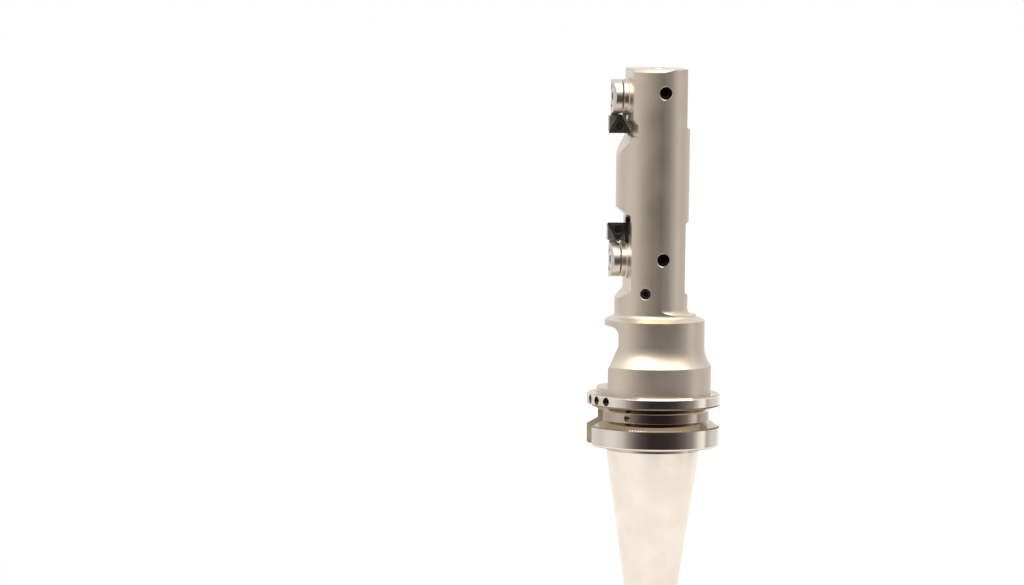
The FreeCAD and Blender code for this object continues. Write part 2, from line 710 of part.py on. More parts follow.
def clamp_hole(body, name, height):
    """Tapped hole for a clamp screw, from the bar's -Y side into the cross bore."""
    radius = half("clamp_hole")
    rim = s("clamp_rim")
    side = half("bar_diameter")
    inner = half("slide_diameter")
    radial_hole(body, name, height, 270, [
        (inner, 0), (inner, radius), (side - rim, radius), (side + rim, radius + rim * 2),
        (side + PAST, radius + rim * 2), (side + PAST, 0),
    ], aside=s("clamp_aside"))


def blind_hole(body, name, height, angle, floor, outer, radius):
    """Plain blind hole along a ray from the tool axis."""
    radial_hole(body, name, height, angle,
                [(floor, 0), (floor, radius), (outer, radius), (outer, 0)])


def screw_holes(body):
    """Holes for the grub screw, the balancing screws, the locating pin and the key plate."""
    bar = half("bar_diameter")
    floor = bar - s("grub_sunk") - s("grub_length") - PAST
    rim = s("grub_rim")
    radius = half("grub_diameter") + s("thread_play")
    radial_hole(body, "grub_hole", gauge + s("grub_height"), 270 - s("grub_angle"), [
        (floor, 0), (floor, radius), (bar - rim, radius), (bar + rim, radius + rim * 2),
        (bar + PAST, radius + rim * 2), (bar + PAST, 0),
    ])
    rim = half("flange_diameter")
    floor = rim - s("balance_sunk") - s("balance_length") - PAST
    for side in (1, -1):
        for number in range(3):
            angle = 180 + side * (s("balance_first_angle") + s("balance_step_angle") * number)
            hand = "front" if side > 0 else "back"
            blind_hole(body, f"balance_hole_{hand}_{number + 1}",
                       flange_foot + s("balance_height"), angle,
                       floor, rim + PAST, half("balance_diameter") + s("thread_play"))
    groove = half("gripper_floor_diameter")
    blind_hole(body, "groove_hole", flange_foot + s("gripper_centre"), 270 - s("mark_angle"),
               groove - s("mark_depth"), rim, half("mark_diameter"))
    pin = half("pin_diameter") + s("bore_play")
    blind_hole(body, "pin_hole", upper_axis + s("pin_offset"), 180,
               s("seat") - s("pin_depth"), s("seat") + PAST, pin)


def key_screw_hole(body):
    """Tapped hole for the key plate's screw."""
    sketch = new_sketch(body, "key_hole_section", "YZ_Plane", shift=-(s("seat") + PAST))
    aside = -(s("key_front") - half("key_width"))
    circle(sketch, aside, lower_axis + s("key_screw_place"), half("key_screw") + s("thread_play"))
    pocket(body, "key_hole", sketch, s("key_screw_length") + PAST, backwards=True)


def make_bar():
    body = new_body("bar_body")
    turned_bar(body)
    end_holes(body)
    eccentric_relief(body)
    unit_flats(body)
    chip_gullets(body)
    balance_scoop(body)
    drive_slots(body)
    cross_bore(body, "upper_bore", upper_axis)
    cross_bore(body, "lower_bore", lower_axis)
    clamp_hole(body, "upper_clamp_hole", upper_axis + s("clamp_rise_upper"))
    clamp_hole(body, "lower_clamp_hole", lower_axis + s("clamp_rise_lower"))
    screw_holes(body)
    key_screw_hole(body)
    return body


def guide_sleeve(unit, height, hand, clamp_rise):
    """Sleeve in the cross bore, with its seating ring, scale ring and slot for the neck."""
    shank = half("bore_diameter") - s("bore_play")
    ring = half("ring_diameter")
    step = half("step_diameter")
    edge = s("ring_edge")
    inner = half("slide_diameter") + s("slide_play")
    tail = half("tail_diameter") + s("slide_play")
    rear = half("plug_diameter")
    body = turned(f"{unit}_guide_sleeve", [
        (sleeve_rear, rear), (sleeve_rear, shank), (s("seat"), shank), (s("seat"), ring),
        (ring_face - edge, ring), (ring_face, ring - edge), (ring_face, step),
        (step_face - edge, step), (step_face, step - edge), (step_face, inner),
        (wall_front, inner), (wall_front, tail), (wall_rear, tail), (wall_rear, rear),
    ])
    slot_front = s("neck_front") - s("neck_play")
    slot_back = foot_back + s("neck_play")
    sketch = new_sketch(body, "slot_section", "YZ_Plane", shift=-(s("seat") + s("slot_start")))
    outline(sketch, [
        (slot_front, 0), (slot_front, hand * (ring + PAST)),
        (slot_back, hand * (ring + PAST)), (slot_back, 0),
    ])
    pocket(body, "neck_slot", sketch, step_face - s("seat"))
    window = half("pad_diameter") + s("pad_play")
    sketch = new_sketch(body, "window_section", "XZ_Plane")
    circle(sketch, 0, clamp_rise, window)
    pocket(body, "pad_window", sketch, half("bore_diameter") + PAST, backwards=True)
    return body


def locating_hole(body):
    """Blind hole in the upper sleeve's ring for the locating pin."""
    sketch = new_sketch(body, "pin_section", "YZ_Plane", shift=-(s("seat") - PAST))
    circle(sketch, 0, s("pin_offset"), half("pin_diameter") + s("bore_play"))
    pocket(body, "pin_hole", sketch, s("ring_width") + PAST)


def key_notch(body):
    """Notch in the lower sleeve's ring for the key plate."""
    play = s("key_play")
    front = -(s("key_front") + play)
    back = -(s("key_front") - s("key_width") - play)
    foot = s("key_start") - play
    top = half("ring_diameter") + PAST
    sketch = new_sketch(body, "notch_section", "YZ_Plane", shift=-(s("seat") - PAST))
    outline(sketch, [(front, foot), (back, foot), (back, top), (front, top)])
    pocket(body, "notch", sketch, s("ring_width") + PAST)


def sleeve_plug(unit):
    """Threaded plug in the sleeve's rear end, tapped for the draw screw."""
    outer = half("plug_diameter") - s("thread_play")
    inner = half("draw_screw") + s("thread_play")
    return turned(f"{unit}_sleeve_plug", [
        (sleeve_rear, inner), (sleeve_rear, outer), (plug_face, outer), (plug_face, inner),
    ])


def slide(unit, hand):
    """Slide with its neck, which passes through the sleeve's slot, and the foot behind."""
    outer = half("slide_diameter")
    inner = half("spindle_diameter") + s("slide_play")
    body = turned(f"{unit}_slide", [
        (slide_rear, inner), (slide_rear, outer), (neck_outer, outer), (neck_outer, inner),
    ])
    root_level = (outer + inner) / 2
    neck_end = s("foot_drop")
    front = -s("neck_front")
    sketch = new_sketch(body, "neck_section", "XZ_Plane", shift=front)
    outline(sketch, [
        (-neck_inner, hand * root_level), (-neck_inner, hand * s("holder_top")),
        (-neck_outer, hand * s("holder_top")), (-neck_outer, hand * root_level),
    ])
    pad(body, "neck", sketch, foot_back - s("neck_front"), backwards=True)
    sketch = new_sketch(body, "foot_section", "XZ_Plane", shift=-s("holder_back"))
    outline(sketch, [
        (-neck_inner, hand * root_level), (-neck_inner, hand * neck_end),
        (-s("foot_reach"), hand * neck_end), (-s("foot_reach"), hand * s("holder_top")),
        (-neck_outer, hand * s("holder_top")), (-neck_outer, hand * root_level),
    ])
    pad(body, "foot", sketch, s("foot_thickness"), backwards=True)
    sketch = new_sketch(body, "foot_holes_section", "XZ_Plane", shift=-s("holder_back"))
    for name in ("holder_screw_inner", "holder_screw_outer"):
        circle(sketch, -s(name), hand * s("holder_screw_drop"),
               half("holder_screw") + s("thread_play"))
    pocket(body, "foot_holes", sketch, s("foot_thickness"))
    sketch = new_sketch(body, "foot_sinks_section", "XZ_Plane", shift=-foot_back)
    for name in ("holder_screw_inner", "holder_screw_outer"):
        circle(sketch, -s(name), hand * s("holder_screw_drop"),
               half("holder_screw_head") + s("thread_play"))
    pocket(body, "foot_sinks", sketch, s("foot_sink"), backwards=True)
    return body


def insert_triangle(play, hand):
    """The three corners of the insert, moved out by a play, as (across, up) pairs."""
    inner = half("insert_circle") + play
    side = inner * root(as_size(3))
    middle = s("edge_drop") - half("insert_circle")
    base = middle + inner
    tip = middle - inner * 2
    return [
        (-(insert_middle + side), hand * base),
        (-(insert_middle - side), hand * base),
        (-insert_middle, hand * tip),
    ]


def insert_holder(unit, hand):
    """Holder with the three-cornered pocket for the insert."""
    body = new_body(f"{unit}_insert_holder")
    sketch = new_sketch(body, "block_section", "XZ_Plane", shift=-s("holder_front"))
    outline(sketch, [
        (-s("holder_reach"), hand * s("holder_top")),
        (-s("holder_shoulder"), hand * s("holder_top")),
        (-s("holder_inner"), hand * s("holder_slant")),
        (-s("holder_inner"), hand * s("holder_drop")),
        (-s("holder_reach"), hand * s("holder_drop")),
    ])
    pad(body, "block", sketch, s("holder_back") - s("holder_front"), backwards=True)
    sketch = new_sketch(body, "pocket_section", "XZ_Plane", shift=-s("insert_thickness"))
    outline(sketch, insert_triangle(s("insert_play"), hand))
    pocket(body, "insert_pocket", sketch, s("insert_thickness"), backwards=True)
    sketch = new_sketch(body, "screw_section", "XZ_Plane", shift=-s("insert_thickness"))
    middle = s("edge_drop") - half("insert_circle")
    circle(sketch, -insert_middle, hand * middle, half("insert_screw") + s("thread_play"))
    pocket(body, "screw_hole", sketch, s("holder_back") - s("insert_thickness"))
    sketch = new_sketch(body, "foot_section", "XZ_Plane", shift=-s("holder_back"))
    for name in ("holder_screw_inner", "holder_screw_outer"):
        circle(sketch, -s(name), hand * s("holder_screw_drop"),
               half("holder_screw") + s("thread_play"))
    depth = s("holder_screw_depth") + s("holder_hole_space")
    pocket(body, "foot_holes", sketch, depth, backwards=True)
    outer_edges = edges_along(body.Tip, FreeCAD.Vector(0, 1, 0),
                              lambda point: -point.x > s("holder_reach").number - 0.01)
    round_edges(body, "edges", outer_edges, s("holder_edge"), "PartDesign::Chamfer")
    top_edges = edges_along(body.Tip, FreeCAD.Vector(1, 0, 0),
                            lambda point: point.z * hand < s("holder_top").number + 0.01
                            and -point.y > -0.01 - s("holder_front").number)
    round_edges(body, "top_edges", top_edges, s("holder_edge"), "PartDesign::Chamfer")
    return body


def holder_screws(unit, hand):
    """Two screws that hold the holder on the slide's foot, heads sunk in the foot."""
    body = new_body(f"{unit}_holder_screws")
    body.AllowCompound = True
    head = s("foot_sink")
    sketch = new_sketch(body, "heads_section", "XZ_Plane", shift=-(foot_back - s("thread_play")))
    for name in ("holder_screw_inner", "holder_screw_outer"):
        circle(sketch, -s(name), hand * s("holder_screw_drop"), half("holder_screw_head"))
    pad(body, "heads", sketch, head - s("thread_play") * 2)
    shank = s("foot_thickness") + s("holder_screw_depth")
    sketch = new_sketch(body, "shanks_section", "XZ_Plane", shift=-(foot_back - head / 2))
    for name in ("holder_screw_inner", "holder_screw_outer"):
        circle(sketch, -s(name), hand * s("holder_screw_drop"), half("holder_screw"))
    pad(body, "shanks", sketch, shank - head / 2)
    return body


def dial(unit):
    """Dial, its threaded spindle and the tail that the retaining ring holds."""
    outer = half("dial_diameter")
    bevel = s("dial_bevel")
    spindle = half("spindle_diameter")
    tail = half("tail_diameter")
    groove = half("tail_groove")
    play = s("clip_play")
    step = wall_front + s("spindle_gap")
    body = turned(f"{unit}_dial", [
        (tail_tip, 0), (tail_tip, tail), (clip_rear - play, tail), (clip_rear - play, groove),
        (clip_front + play / 2, groove), (clip_front + play / 2, tail), (step, tail),
        (step, spindle), (dial_back, spindle), (dial_back, outer),
        (dial_face - bevel, outer), (dial_face, outer - bevel), (dial_face, 0),
    ])
    hexagon_socket(body, dial_face, s("dial_socket"), s("dial_socket_depth"))
    return body


def dial_guard(unit, hand):
    """Ring round the dial, its face turned about the tool axis, on an arm from the foot."""
    outer = half("guard_diameter")
    inner = half("dial_diameter") + s("guard_play")
    reach = half("guard_circle")
    body = turned(f"{unit}_dial_guard", [
        (guard_back, inner), (guard_back, outer), (reach + PAST, outer), (reach + PAST, inner),
    ])
    sketch = new_sketch(body, "arm_section", "XZ_Plane", shift=-s("holder_back"))
    outline(sketch, [
        (-guard_back, hand * s("guard_arm")), (-guard_back, hand * s("holder_top")),
        (-s("foot_reach"), hand * s("holder_top")), (-s("foot_reach"), hand * s("guard_arm")),
    ])
    pad(body, "arm", sketch, s("foot_thickness"), backwards=True)
    sketch = new_sketch(body, "face_section", "XY_Plane")
    circle(sketch, 0, 0, reach)
    circle(sketch, 0, 0, reach + outer)
    pocket(body, "face", sketch, s("guard_diameter") * 2, both_ways=True)
    return body


def retaining_ring(unit):
    """Ring in the groove of the spindle's tail."""
    inner = half("tail_groove") + s("clip_play")
    outer = half("clip_diameter")
    return turned(f"{unit}_retaining_ring", [
        (clip_rear, inner), (clip_rear, outer), (clip_front, outer), (clip_front, inner),
    ])


def cutting_insert(unit, hand):
    """Three-cornered insert with rounded corners, clearance all round and a sunk screw hole."""
    body = new_body(f"{unit}_cutting_insert")
    sketch = new_sketch(body, "rake_section", "XZ_Plane")
    outline(sketch, insert_triangle(as_size(0), hand))
    pad(body, "plate", sketch, s("insert_thickness"), backwards=True,
        taper=-s("insert_clearance_angle"))
    corners = edges_along(body.Tip, FreeCAD.Vector(0, 1, 0))
    round_edges(body, "corners", corners, s("insert_corner"))
    sketch = new_sketch(body, "hole_section", "XY_Plane",
                        shift=hand * (s("edge_drop") - half("insert_circle")),
                        aside=-insert_middle)
    hole = half("insert_hole")
    sink = half("insert_sink")
    outline(sketch, [
        (0, -PAST), (sink, -PAST), (sink, 0), (hole, s("insert_sink_depth")),
        (hole, s("insert_thickness") + PAST), (0, s("insert_thickness") + PAST),
    ])
    revolve(body, "screw_hole", sketch, "V", grows=False)
    return body


def insert_screw(unit, hand):
    """Countersunk screw of the insert."""
    body = new_body(f"{unit}_insert_screw")
    sketch = new_sketch(body, "section", "XY_Plane",
                        shift=hand * (s("edge_drop") - half("insert_circle")),
                        aside=-insert_middle)
    sunk = s("insert_head_sunk")
    head = half("insert_head")
    shank = half("insert_screw")
    outline(sketch, [
        (0, sunk), (head, sunk), (head, sunk + s("insert_head_edge")),
        (shank, s("insert_sink_depth")),
        (shank, s("insert_screw_end")), (0, s("insert_screw_end")),
    ])
    revolve(body, "turning", sketch, "V")
    return body


def draw_screw(unit):
    """Screw that draws the sleeve onto its seat, its head in the recess behind the bar."""
    under_head = recess_floor - s("washer_height")
    top = under_head - s("draw_head_height")
    head = half("draw_head")
    shank = half("draw_screw")
    crown = s("draw_crown")
    body = turned(f"{unit}_draw_screw", [
        (top, 0), (top, head - crown), (top + crown, head), (under_head, head),
        (under_head, shank), (under_head + s("draw_length"), shank),
        (under_head + s("draw_length"), 0),
    ])
    hexagon_socket(body, top, s("draw_socket"), s("draw_socket_depth"), from_front=False)
    return body


def spring_washer(unit):
    """Dished spring washer under the draw screw's head."""
    inner = half("draw_screw") + s("recess_play") / 2
    outer = half("washer_diameter")
    low = recess_floor - s("washer_height")
    dish = s("washer_dish")
    return turned(f"{unit}_spring_washer", [
        (low, inner), (low, outer - dish), (recess_floor - dish, outer),
        (recess_floor, outer), (recess_floor, inner + dish), (low + dish, inner),
    ])


def clamp_screw(unit, height):
    """Set screw that locks the slide through the brass pad."""
    outer = half("bar_diameter") - s("clamp_sunk")
    inner = outer - s("clamp_length")
    radius = half("clamp_screw")
    edge = s("clamp_rim")
    body = turned(f"{unit}_clamp_screw", [
        (inner, 0), (inner, radius - edge), (inner + edge, radius), (outer - edge, radius),
        (outer, radius - edge), (outer, 0),
    ])
    hexagon_socket(body, outer, s("clamp_socket"), s("clamp_socket_depth"))
    place(body, height, 90, s("clamp_aside"))
    return body


def clamp_pad(unit, height, rise):
    """Brass pad between clamp screw and slide, hollowed to the slide's curve."""
    outer = half("bar_diameter") - s("clamp_sunk") - s("clamp_length") - s("pad_gap")
    body = turned(f"{unit}_clamp_pad", [
        (s("pad_start"), 0), (s("pad_start"), half("pad_diameter")),
        (outer, half("pad_diameter")), (outer, 0),
    ])
    gap = half("slide_diameter") + s("pad_gap")
    sketch = new_sketch(body, "hollow_section", "XZ_Plane")
    circle(sketch, 0, -rise, gap)
    pocket(body, "hollow", sketch, s("bore_diameter"), both_ways=True)
    place(body, height, 90)
    return body


def locating_pin(unit, height):
    """Pin between the bar and the sleeve's ring."""
    radius = half("pin_diameter")
    body = turned(f"{unit}_locating_pin", [
        (s("seat") - s("pin_depth") + s("bore_play"), 0),
        (s("seat") - s("pin_depth") + s("bore_play"), radius),
        (ring_face - s("bore_play"), radius), (ring_face - s("bore_play"), 0),
    ])
    place(body, height)
    return body


def key_plate(unit, height):
    """Plate on the lower flat that keys the sleeve's ring, standing up past the insert."""
    body = new_body(f"{unit}_key_plate")
    front = -s("key_front")
    back = -(s("key_front") - s("key_width"))
    thick = s("ring_width") - s("key_play") / 2
    sketch = new_sketch(body, "section", "YZ_Plane", shift=-s("seat"))
    outline(sketch, [
        (front, s("key_start")), (back, s("key_start")), (back, s("key_end")),
        (front, s("key_end")),
    ])
    pad(body, "plate", sketch, thick, backwards=True)
    sketch = new_sketch(body, "hole_section", "YZ_Plane", shift=-(s("seat") - PAST))
    circle(sketch, (front + back) / 2, s("key_screw_place"), half("key_screw") + s("thread_play"))
    pocket(body, "hole", sketch, s("ring_width") + PAST * 2)
    place(body, height)
    return body


def key_screw(unit, height):
    """Small headless screw that holds the key plate."""
    body = new_body(f"{unit}_key_screw")
    aside = -(s("key_front") - half("key_width"))
    end = s("seat") - s("key_screw_length") + s("thread_play") * 2
    sketch = new_sketch(body, "section", "YZ_Plane", shift=-end)
    circle(sketch, aside, s("key_screw_place"), half("key_screw"))
    pad(body, "shank", sketch, ring_face - end - s("key_play"), backwards=True)
    place(body, height)
    return body


def make_unit(unit, height, hand, clamp_rise):
    """One boring unit; hand is -1 with its insert below the axis and 1 with it above."""
    pieces = [
        guide_sleeve(unit, height, hand, clamp_rise), sleeve_plug(unit), slide(unit, hand),
        insert_holder(unit, hand), holder_screws(unit, hand), dial(unit), dial_guard(unit, hand),
        retaining_ring(unit), cutting_insert(unit, hand), insert_screw(unit, hand),
        draw_screw(unit), spring_washer(unit),
    ]
    for body in pieces:
        place(body, height)
    pieces.append(clamp_screw(unit, height + clamp_rise))
    pieces.append(clamp_pad(unit, height + clamp_rise, clamp_rise))
    return pieces


def grub_screw():
    """Set screw low on the bar."""
    outer = half("bar_diameter") - s("grub_sunk")
    inner = outer - s("grub_length")
    body = turned("grub_screw", [
        (inner, 0), (inner, half("grub_diameter")), (outer, half("grub_diameter")), (outer, 0),
    ])
    hexagon_socket(body, outer, s("grub_socket"), s("grub_socket_depth"))
    place(body, gauge + s("grub_height"), 90 - s("grub_angle"))
    return body


def balancing_screws():
    """Six set screws in the rim of the upper disc, three each side of the drive slot."""
    body = new_body("balancing_screws")
    body.AllowCompound = True
    outer = half("flange_diameter") - s("balance_sunk")
    inner = outer - s("balance_length")
    radius = half("balance_diameter")
    height = flange_foot + s("balance_height")
    for side in (1, -1):
        for number in range(3):
            hand = "front" if side > 0 else "back"
            angle = 180 + side * (s("balance_first_angle") + s("balance_step_angle") * number)
            name = f"screw_{hand}_{number + 1}"
            sketch = new_sketch(body, f"{name}_section", "XY_Plane", shift=height, angle=angle)
            socket = half("balance_socket")
            floor = outer - s("balance_socket_depth")
            outline(sketch, [
                (inner, 0), (inner, radius), (outer, radius), (outer, socket),
                (floor, socket), (floor, 0),
            ])
            revolve(body, name, sketch, "H")
    return body


pieces = [make_bar()]
pieces += make_unit("upper", upper_axis, -1, s("clamp_rise_upper"))
pieces += make_unit("lower", lower_axis, 1, s("clamp_rise_lower"))
locating_hole(doc.getObject("upper_guide_sleeve"))
key_notch(doc.getObject("lower_guide_sleeve"))
pieces.append(locating_pin("upper", upper_axis + s("pin_offset")))
pieces.append(key_plate("lower", lower_axis))
pieces.append(key_screw("lower", lower_axis))
pieces.append(grub_screw())
pieces.append(balancing_screws())
doc.recompute()

for item in doc.Objects:
    if "Invalid" in item.State or "Error" in item.State:
        raise RuntimeError(f"{item.Name} did not compute: {item.State}")
for body in pieces:
    if body.Shape.isNull() or not body.Shape.isValid():
        raise RuntimeError(f"{body.Label} has no valid shape")
for body in pieces:
    body.Shape.exportStep(f"parts/{body.Label}.step")
    solids = len(body.Shape.Solids)
    print(f"{body.Label}: {solids} solid(s), {body.Shape.Volume:.1f} mm3")
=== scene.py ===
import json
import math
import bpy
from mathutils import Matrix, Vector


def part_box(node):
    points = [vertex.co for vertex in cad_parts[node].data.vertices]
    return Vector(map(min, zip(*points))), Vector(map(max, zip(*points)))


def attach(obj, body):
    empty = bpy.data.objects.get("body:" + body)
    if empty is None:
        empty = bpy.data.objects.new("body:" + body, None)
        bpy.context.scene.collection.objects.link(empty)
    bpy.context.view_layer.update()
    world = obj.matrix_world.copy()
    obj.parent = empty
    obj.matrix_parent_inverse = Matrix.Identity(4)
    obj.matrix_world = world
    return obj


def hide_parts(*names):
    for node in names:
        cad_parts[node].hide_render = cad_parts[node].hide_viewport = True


bl_info = {
    "name": "Twin Boring Bar Finish",
    "version": (1, 0, 0),
    "blender": (4, 5, 0),
    "location": "View3D > Sidebar > Boring Bar",
    "description": "Plated, ground and blackened finishes, graduations, threads and inserts",
    "category": "Object",
}

import bmesh
import bpy
import numpy as np
from bpy.props import FloatProperty, FloatVectorProperty, IntProperty, PointerProperty
from mathutils import Matrix, Vector

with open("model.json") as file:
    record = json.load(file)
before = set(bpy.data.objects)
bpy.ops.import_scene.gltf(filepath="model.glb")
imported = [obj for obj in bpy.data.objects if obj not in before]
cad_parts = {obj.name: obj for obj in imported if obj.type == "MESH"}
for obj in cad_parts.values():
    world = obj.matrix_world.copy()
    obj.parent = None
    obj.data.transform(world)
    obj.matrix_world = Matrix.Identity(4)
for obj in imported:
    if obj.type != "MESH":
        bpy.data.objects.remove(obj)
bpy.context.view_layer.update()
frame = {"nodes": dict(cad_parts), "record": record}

MM = 0.001
TURN = 2 * math.pi


def hex_colour(code):
    """An sRGB hex value as linear red, green and blue."""
    parts = [int(code[i:i + 2], 16) / 255 for i in (1, 3, 5)]
    return tuple(c / 12.92 if c <= 0.04045 else ((c + 0.055) / 1.055) ** 2.4 for c in parts)


def colour(name, description, code):
    """A colour setting whose default is written as sRGB hex."""
    return FloatVectorProperty(name=name, description=description, default=hex_colour(code),
                               size=3, min=0.0, max=1.0, subtype="COLOR")


def length(name, description, millimetres):
    """A length setting with its default in millimetres."""
    return FloatProperty(name=name, description=description, default=millimetres * MM,
                         min=0.0, precision=5, subtype="DISTANCE", unit="LENGTH")


def angle(name, description, degrees):
    """An angle setting with its default in degrees."""
    return FloatProperty(name=name, description=description, default=math.radians(degrees),
                         subtype="ANGLE", unit="ROTATION")


def factor(name, description, value):
    """A plain number from 0 to 1."""
    return FloatProperty(name=name, description=description, default=value,
                         min=0.0, max=1.0, subtype="FACTOR")


# The two units: which way the insert lies from the axis
UNITS = {"upper": -1, "lower": 1}


def middle(node, axis):
    """Middle of a node's box along one axis, in metres."""
    low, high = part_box(node)
    return (low[axis] + high[axis]) / 2


UNIT_HEIGHT = {unit: middle(f"{unit}_retaining_ring", 2) for unit in UNITS}


class BoringBarFinish(bpy.types.PropertyGroup):
    """Colours and gloss of the surfaces."""

    nickel: colour("Nickel plate", "Electroless nickel over a fine blasted surface", "#DDD2C3")
    nickel_shade: colour("Nickel shade", "The same plate where it is thinner", "#CFC3B3")
    ground_nickel: colour("Ground nickel", "Nickel over the flange's polished rims", "#EEE4D6")
    taper_nickel: colour("Taper", "Nickel over the ground taper", "#E8E0D5")
    taper_shade: colour("Taper shade", "Handled patches of the taper", "#DFD5C8")
    # Painted shade: a darker nickel for the shade that falls in the gripper groove and on the
    # flange's faces
    turned_nickel: colour("Turned nickel", "Nickel over the turned groove of the flange",
                          "#BDAF9F")
    ground_steel: colour("Ground steel", "Bare hardened steel of sleeves, dials and slides",
                         "#D2C9BF")
    black_oxide: colour("Black oxide", "Blackened screws and key plate", "#2E2B2A")
    # Painted shade: nickel darkened to stand in for the shade between the knurl's notches
    knurl: colour("Knurled corner", "Nickel over the groove's knurled corners", "#6F655D")
    satin_steel: colour("Satin steel", "Blasted steel of the insert holders", "#A9A5A4")
    carbide: colour("Coated carbide", "Black ceramic coating of the inserts", "#403E3E")
    spring: colour("Spring steel", "Plain hardened rings, plugs and pins", "#A7A29A")
    brass: colour("Brass", "Turned clamp pads", "#D8BE84")
    ink: colour("Engraving ink", "Black that fills the engraved lines", "#1B1918")
    blasted_roughness: factor("Blasted roughness", "Roughness of the blasted plate", 0.40)
    ground_roughness: factor("Ground roughness", "Roughness of the ground taper", 0.22)
    rim_roughness: factor("Rim roughness", "Roughness of the polished flange", 0.07)
    steel_roughness: factor("Steel roughness", "Roughness of the units' turned steel", 0.30)
    oxide_roughness: factor("Oxide roughness", "Roughness of the blackened steel", 0.38)
    knurl_roughness: factor("Knurl roughness", "Roughness of the knurled corners", 0.30)
    satin_roughness: factor("Satin roughness", "Roughness of the insert holders", 0.42)
    carbide_roughness: factor("Carbide roughness", "Roughness of the inserts", 0.30)
    spring_roughness: factor("Spring roughness", "Roughness of rings, plugs and pins", 0.32)
    brass_roughness: factor("Brass roughness", "Roughness of the clamp pads", 0.26)
    ink_roughness: factor("Ink roughness", "Roughness of the ink", 0.6)
    edge_break: length("Edge break", "Radius of the broken edges", 0.12)


class BoringBarDetail(bpy.types.PropertyGroup):
    """Sizes of the details that are added to the solids."""

    stud_pitch: length("Pull stud pitch", "Pitch of the thread in the small end", 2.0)
    clamp_pitch: length("Clamp pitch", "Pitch of the threads in the clamp screw holes", 1.0)
    thread_height: factor("Thread height", "Height of a thread as a share of its pitch", 0.32)
    clamp_radius: length("Clamp hole", "Radius of the clamp screw holes", 3.0)
    clamp_turns: FloatProperty(name="Clamp turns", default=2.5, min=1.0,
                               description="Turns of thread that show in a clamp hole")
    divisions: IntProperty(name="Dial divisions", default=50, min=10, max=100,
                           description="Graduations round a dial, one for 0.01 mm of travel")
    numbered: IntProperty(name="Numbered line", default=10, min=2, max=20,
                          description="Graduations from one long, numbered line to the next")
    vernier: IntProperty(name="Vernier lines", default=10, min=2, max=20,
                         description="Divisions of the vernier on guard and scale ring")
    zero_turn: angle("Zero", "Turn of a dial's zero upwards from -Y", 40.0)
    line_width: length("Line width", "Width of an engraved line", 0.11)
    long_line: length("Long line", "Length of the numbered graduations", 0.9)
    short_line: length("Short line", "Length of the other graduations", 0.5)
    number_height: length("Number height", "Height of the numbers on a dial", 1.05)
    number_inset: length("Number inset", "Dial's edge to the middle of its numbers", 2.05)
    line_inset: length("Line inset", "Dial's edge to the outer ends of its lines", 0.4)
    mark_length: length("Mark length", "Lines on the guard and on the scale ring", 1.0)
    ink_rise: length("Ink rise", "How far the ink stands above the steel", 0.012)
    insert_corner: length("Insert corner", "Radius of an insert's corners", 0.4)
    insert_clearance: angle("Clearance", "Slope of an insert's flanks", 7.0)
    insert_land: length("Insert land", "Flat land behind an insert's cutting edge", 0.16)
    chip_depth: length("Chip groove", "Depth of an insert's chip groove", 0.16)
    hole_radius: length("Insert hole", "Radius of an insert's hole", 1.42)
    sink_radius: length("Insert sink", "Radius of the hole's countersink", 1.94)
    sink_depth: length("Sink depth", "Rake face to the foot of the countersink", 1.1)
    sink_edge: length("Sink edge", "Chamfer at the rim of the countersink", 0.06)
    notch_spacing: length("Notch spacing", "Spacing of the notches on the rims", 1.30)
    notch_width: length("Notched corner", "Width of the notched corner", 0.46)
    groove_floor: length("Groove floor", "Width of the gripper groove's floor", 4.23)
    groove_depth: length("Groove depth", "Rim to the gripper groove's floor", 5.0)
    groove_slope: angle("Groove slope", "Slope of the groove's flanks", 30.0)


class BoringBarStage(bpy.types.PropertyGroup):
    """Camera, floor, backdrop and lamps."""

    distance: length("Camera distance", "Camera to the middle of the tool", 2500.0)
    aim_height: length("Aim height", "Height of the point that the camera circles", 150.0)
    azimuth: angle("Azimuth", "Round the tool from looking along +Y", -9.0)
    elevation: angle("Elevation", "Above the horizon", 4.5)
    pan: angle("Pan", "Camera turned aside from the tool", -1.547)
    tilt: angle("Tilt", "Camera turned up from the tool", -0.261)
    roll: angle("Roll", "Camera turned about its own view", 0.895)
    lens: FloatProperty(name="Lens", description="Focal length in millimetres", default=186.2,
                        min=1.0)
    floor_front: length("Floor in front", "Tool to the floor's near edge", 210.0)
    floor_back: length("Floor behind", "Tool to the floor's far edge", 7000.0)
    floor_left: length("Floor to the left", "Left of the tool at the near edge", 280.0)
    floor_right: length("Floor to the right", "Right of the tool at the near edge", 200.0)
    floor_spread: factor("Floor spread", "Widening of the floor's two sides with length", 0.13)
    floor_colour: colour("Floor", "Matt white board", "#F6F4F1")
    floor_shade: factor("Floor shade", "Share of the floor's look that takes shadows", 0.26)
    floor_white: factor("Floor white", "Share of the floor's look that is plain white", 0.80)
    backdrop: colour("Backdrop", "White of the ceiling and of the wall behind", "#FFFFFF")
    lamp_colour: colour("Lamps", "Warm white of both lamps", "#FFF5E6")
    top_power: FloatProperty(name="Top lamp power", description="Power in watts", default=10.0,
                             min=0.0)
    side_power: FloatProperty(name="Side lamp power", description="Power in watts",
                              default=2.2, min=0.0)


# Light of the room at eye height round the tool: degrees from the camera's side of the tool,
# towards +X, and the share of white there
ROOM = (
    (-180, 1.0), (-150, 1.0), (-135, 0.78), (-110, 0.70), (-95, 0.82), (-80, 0.82), (-62, 0.60),
    (-54, 0.38), (-46, 0.24), (-38, 0.14), (-30, 0.08), (-14, 0.035), (10, 0.035), (20, 0.04),
    (32, 0.06), (47, 0.14), (55, 0.22), (63, 0.28), (70, 0.48), (80, 0.90), (85, 1.0), (91, 1.0),
    (97, 0.50), (103, 0.55), (110, 0.70), (135, 0.80), (150, 1.0), (180, 1.0),
)

# Share of the ceiling's white above the horizon: degrees up and the share there
RISE = ((0, 0.0), (14, 0.06), (30, 0.85), (45, 1.0))

# Lamps: name, place and size in metres
LAMPS = (("top_lamp", (0.1, -0.40, 1.0), (1.7, 1.0)),
         ("side_lamp", (-0.36, -0.42, 0.62), (0.40, 0.34)))

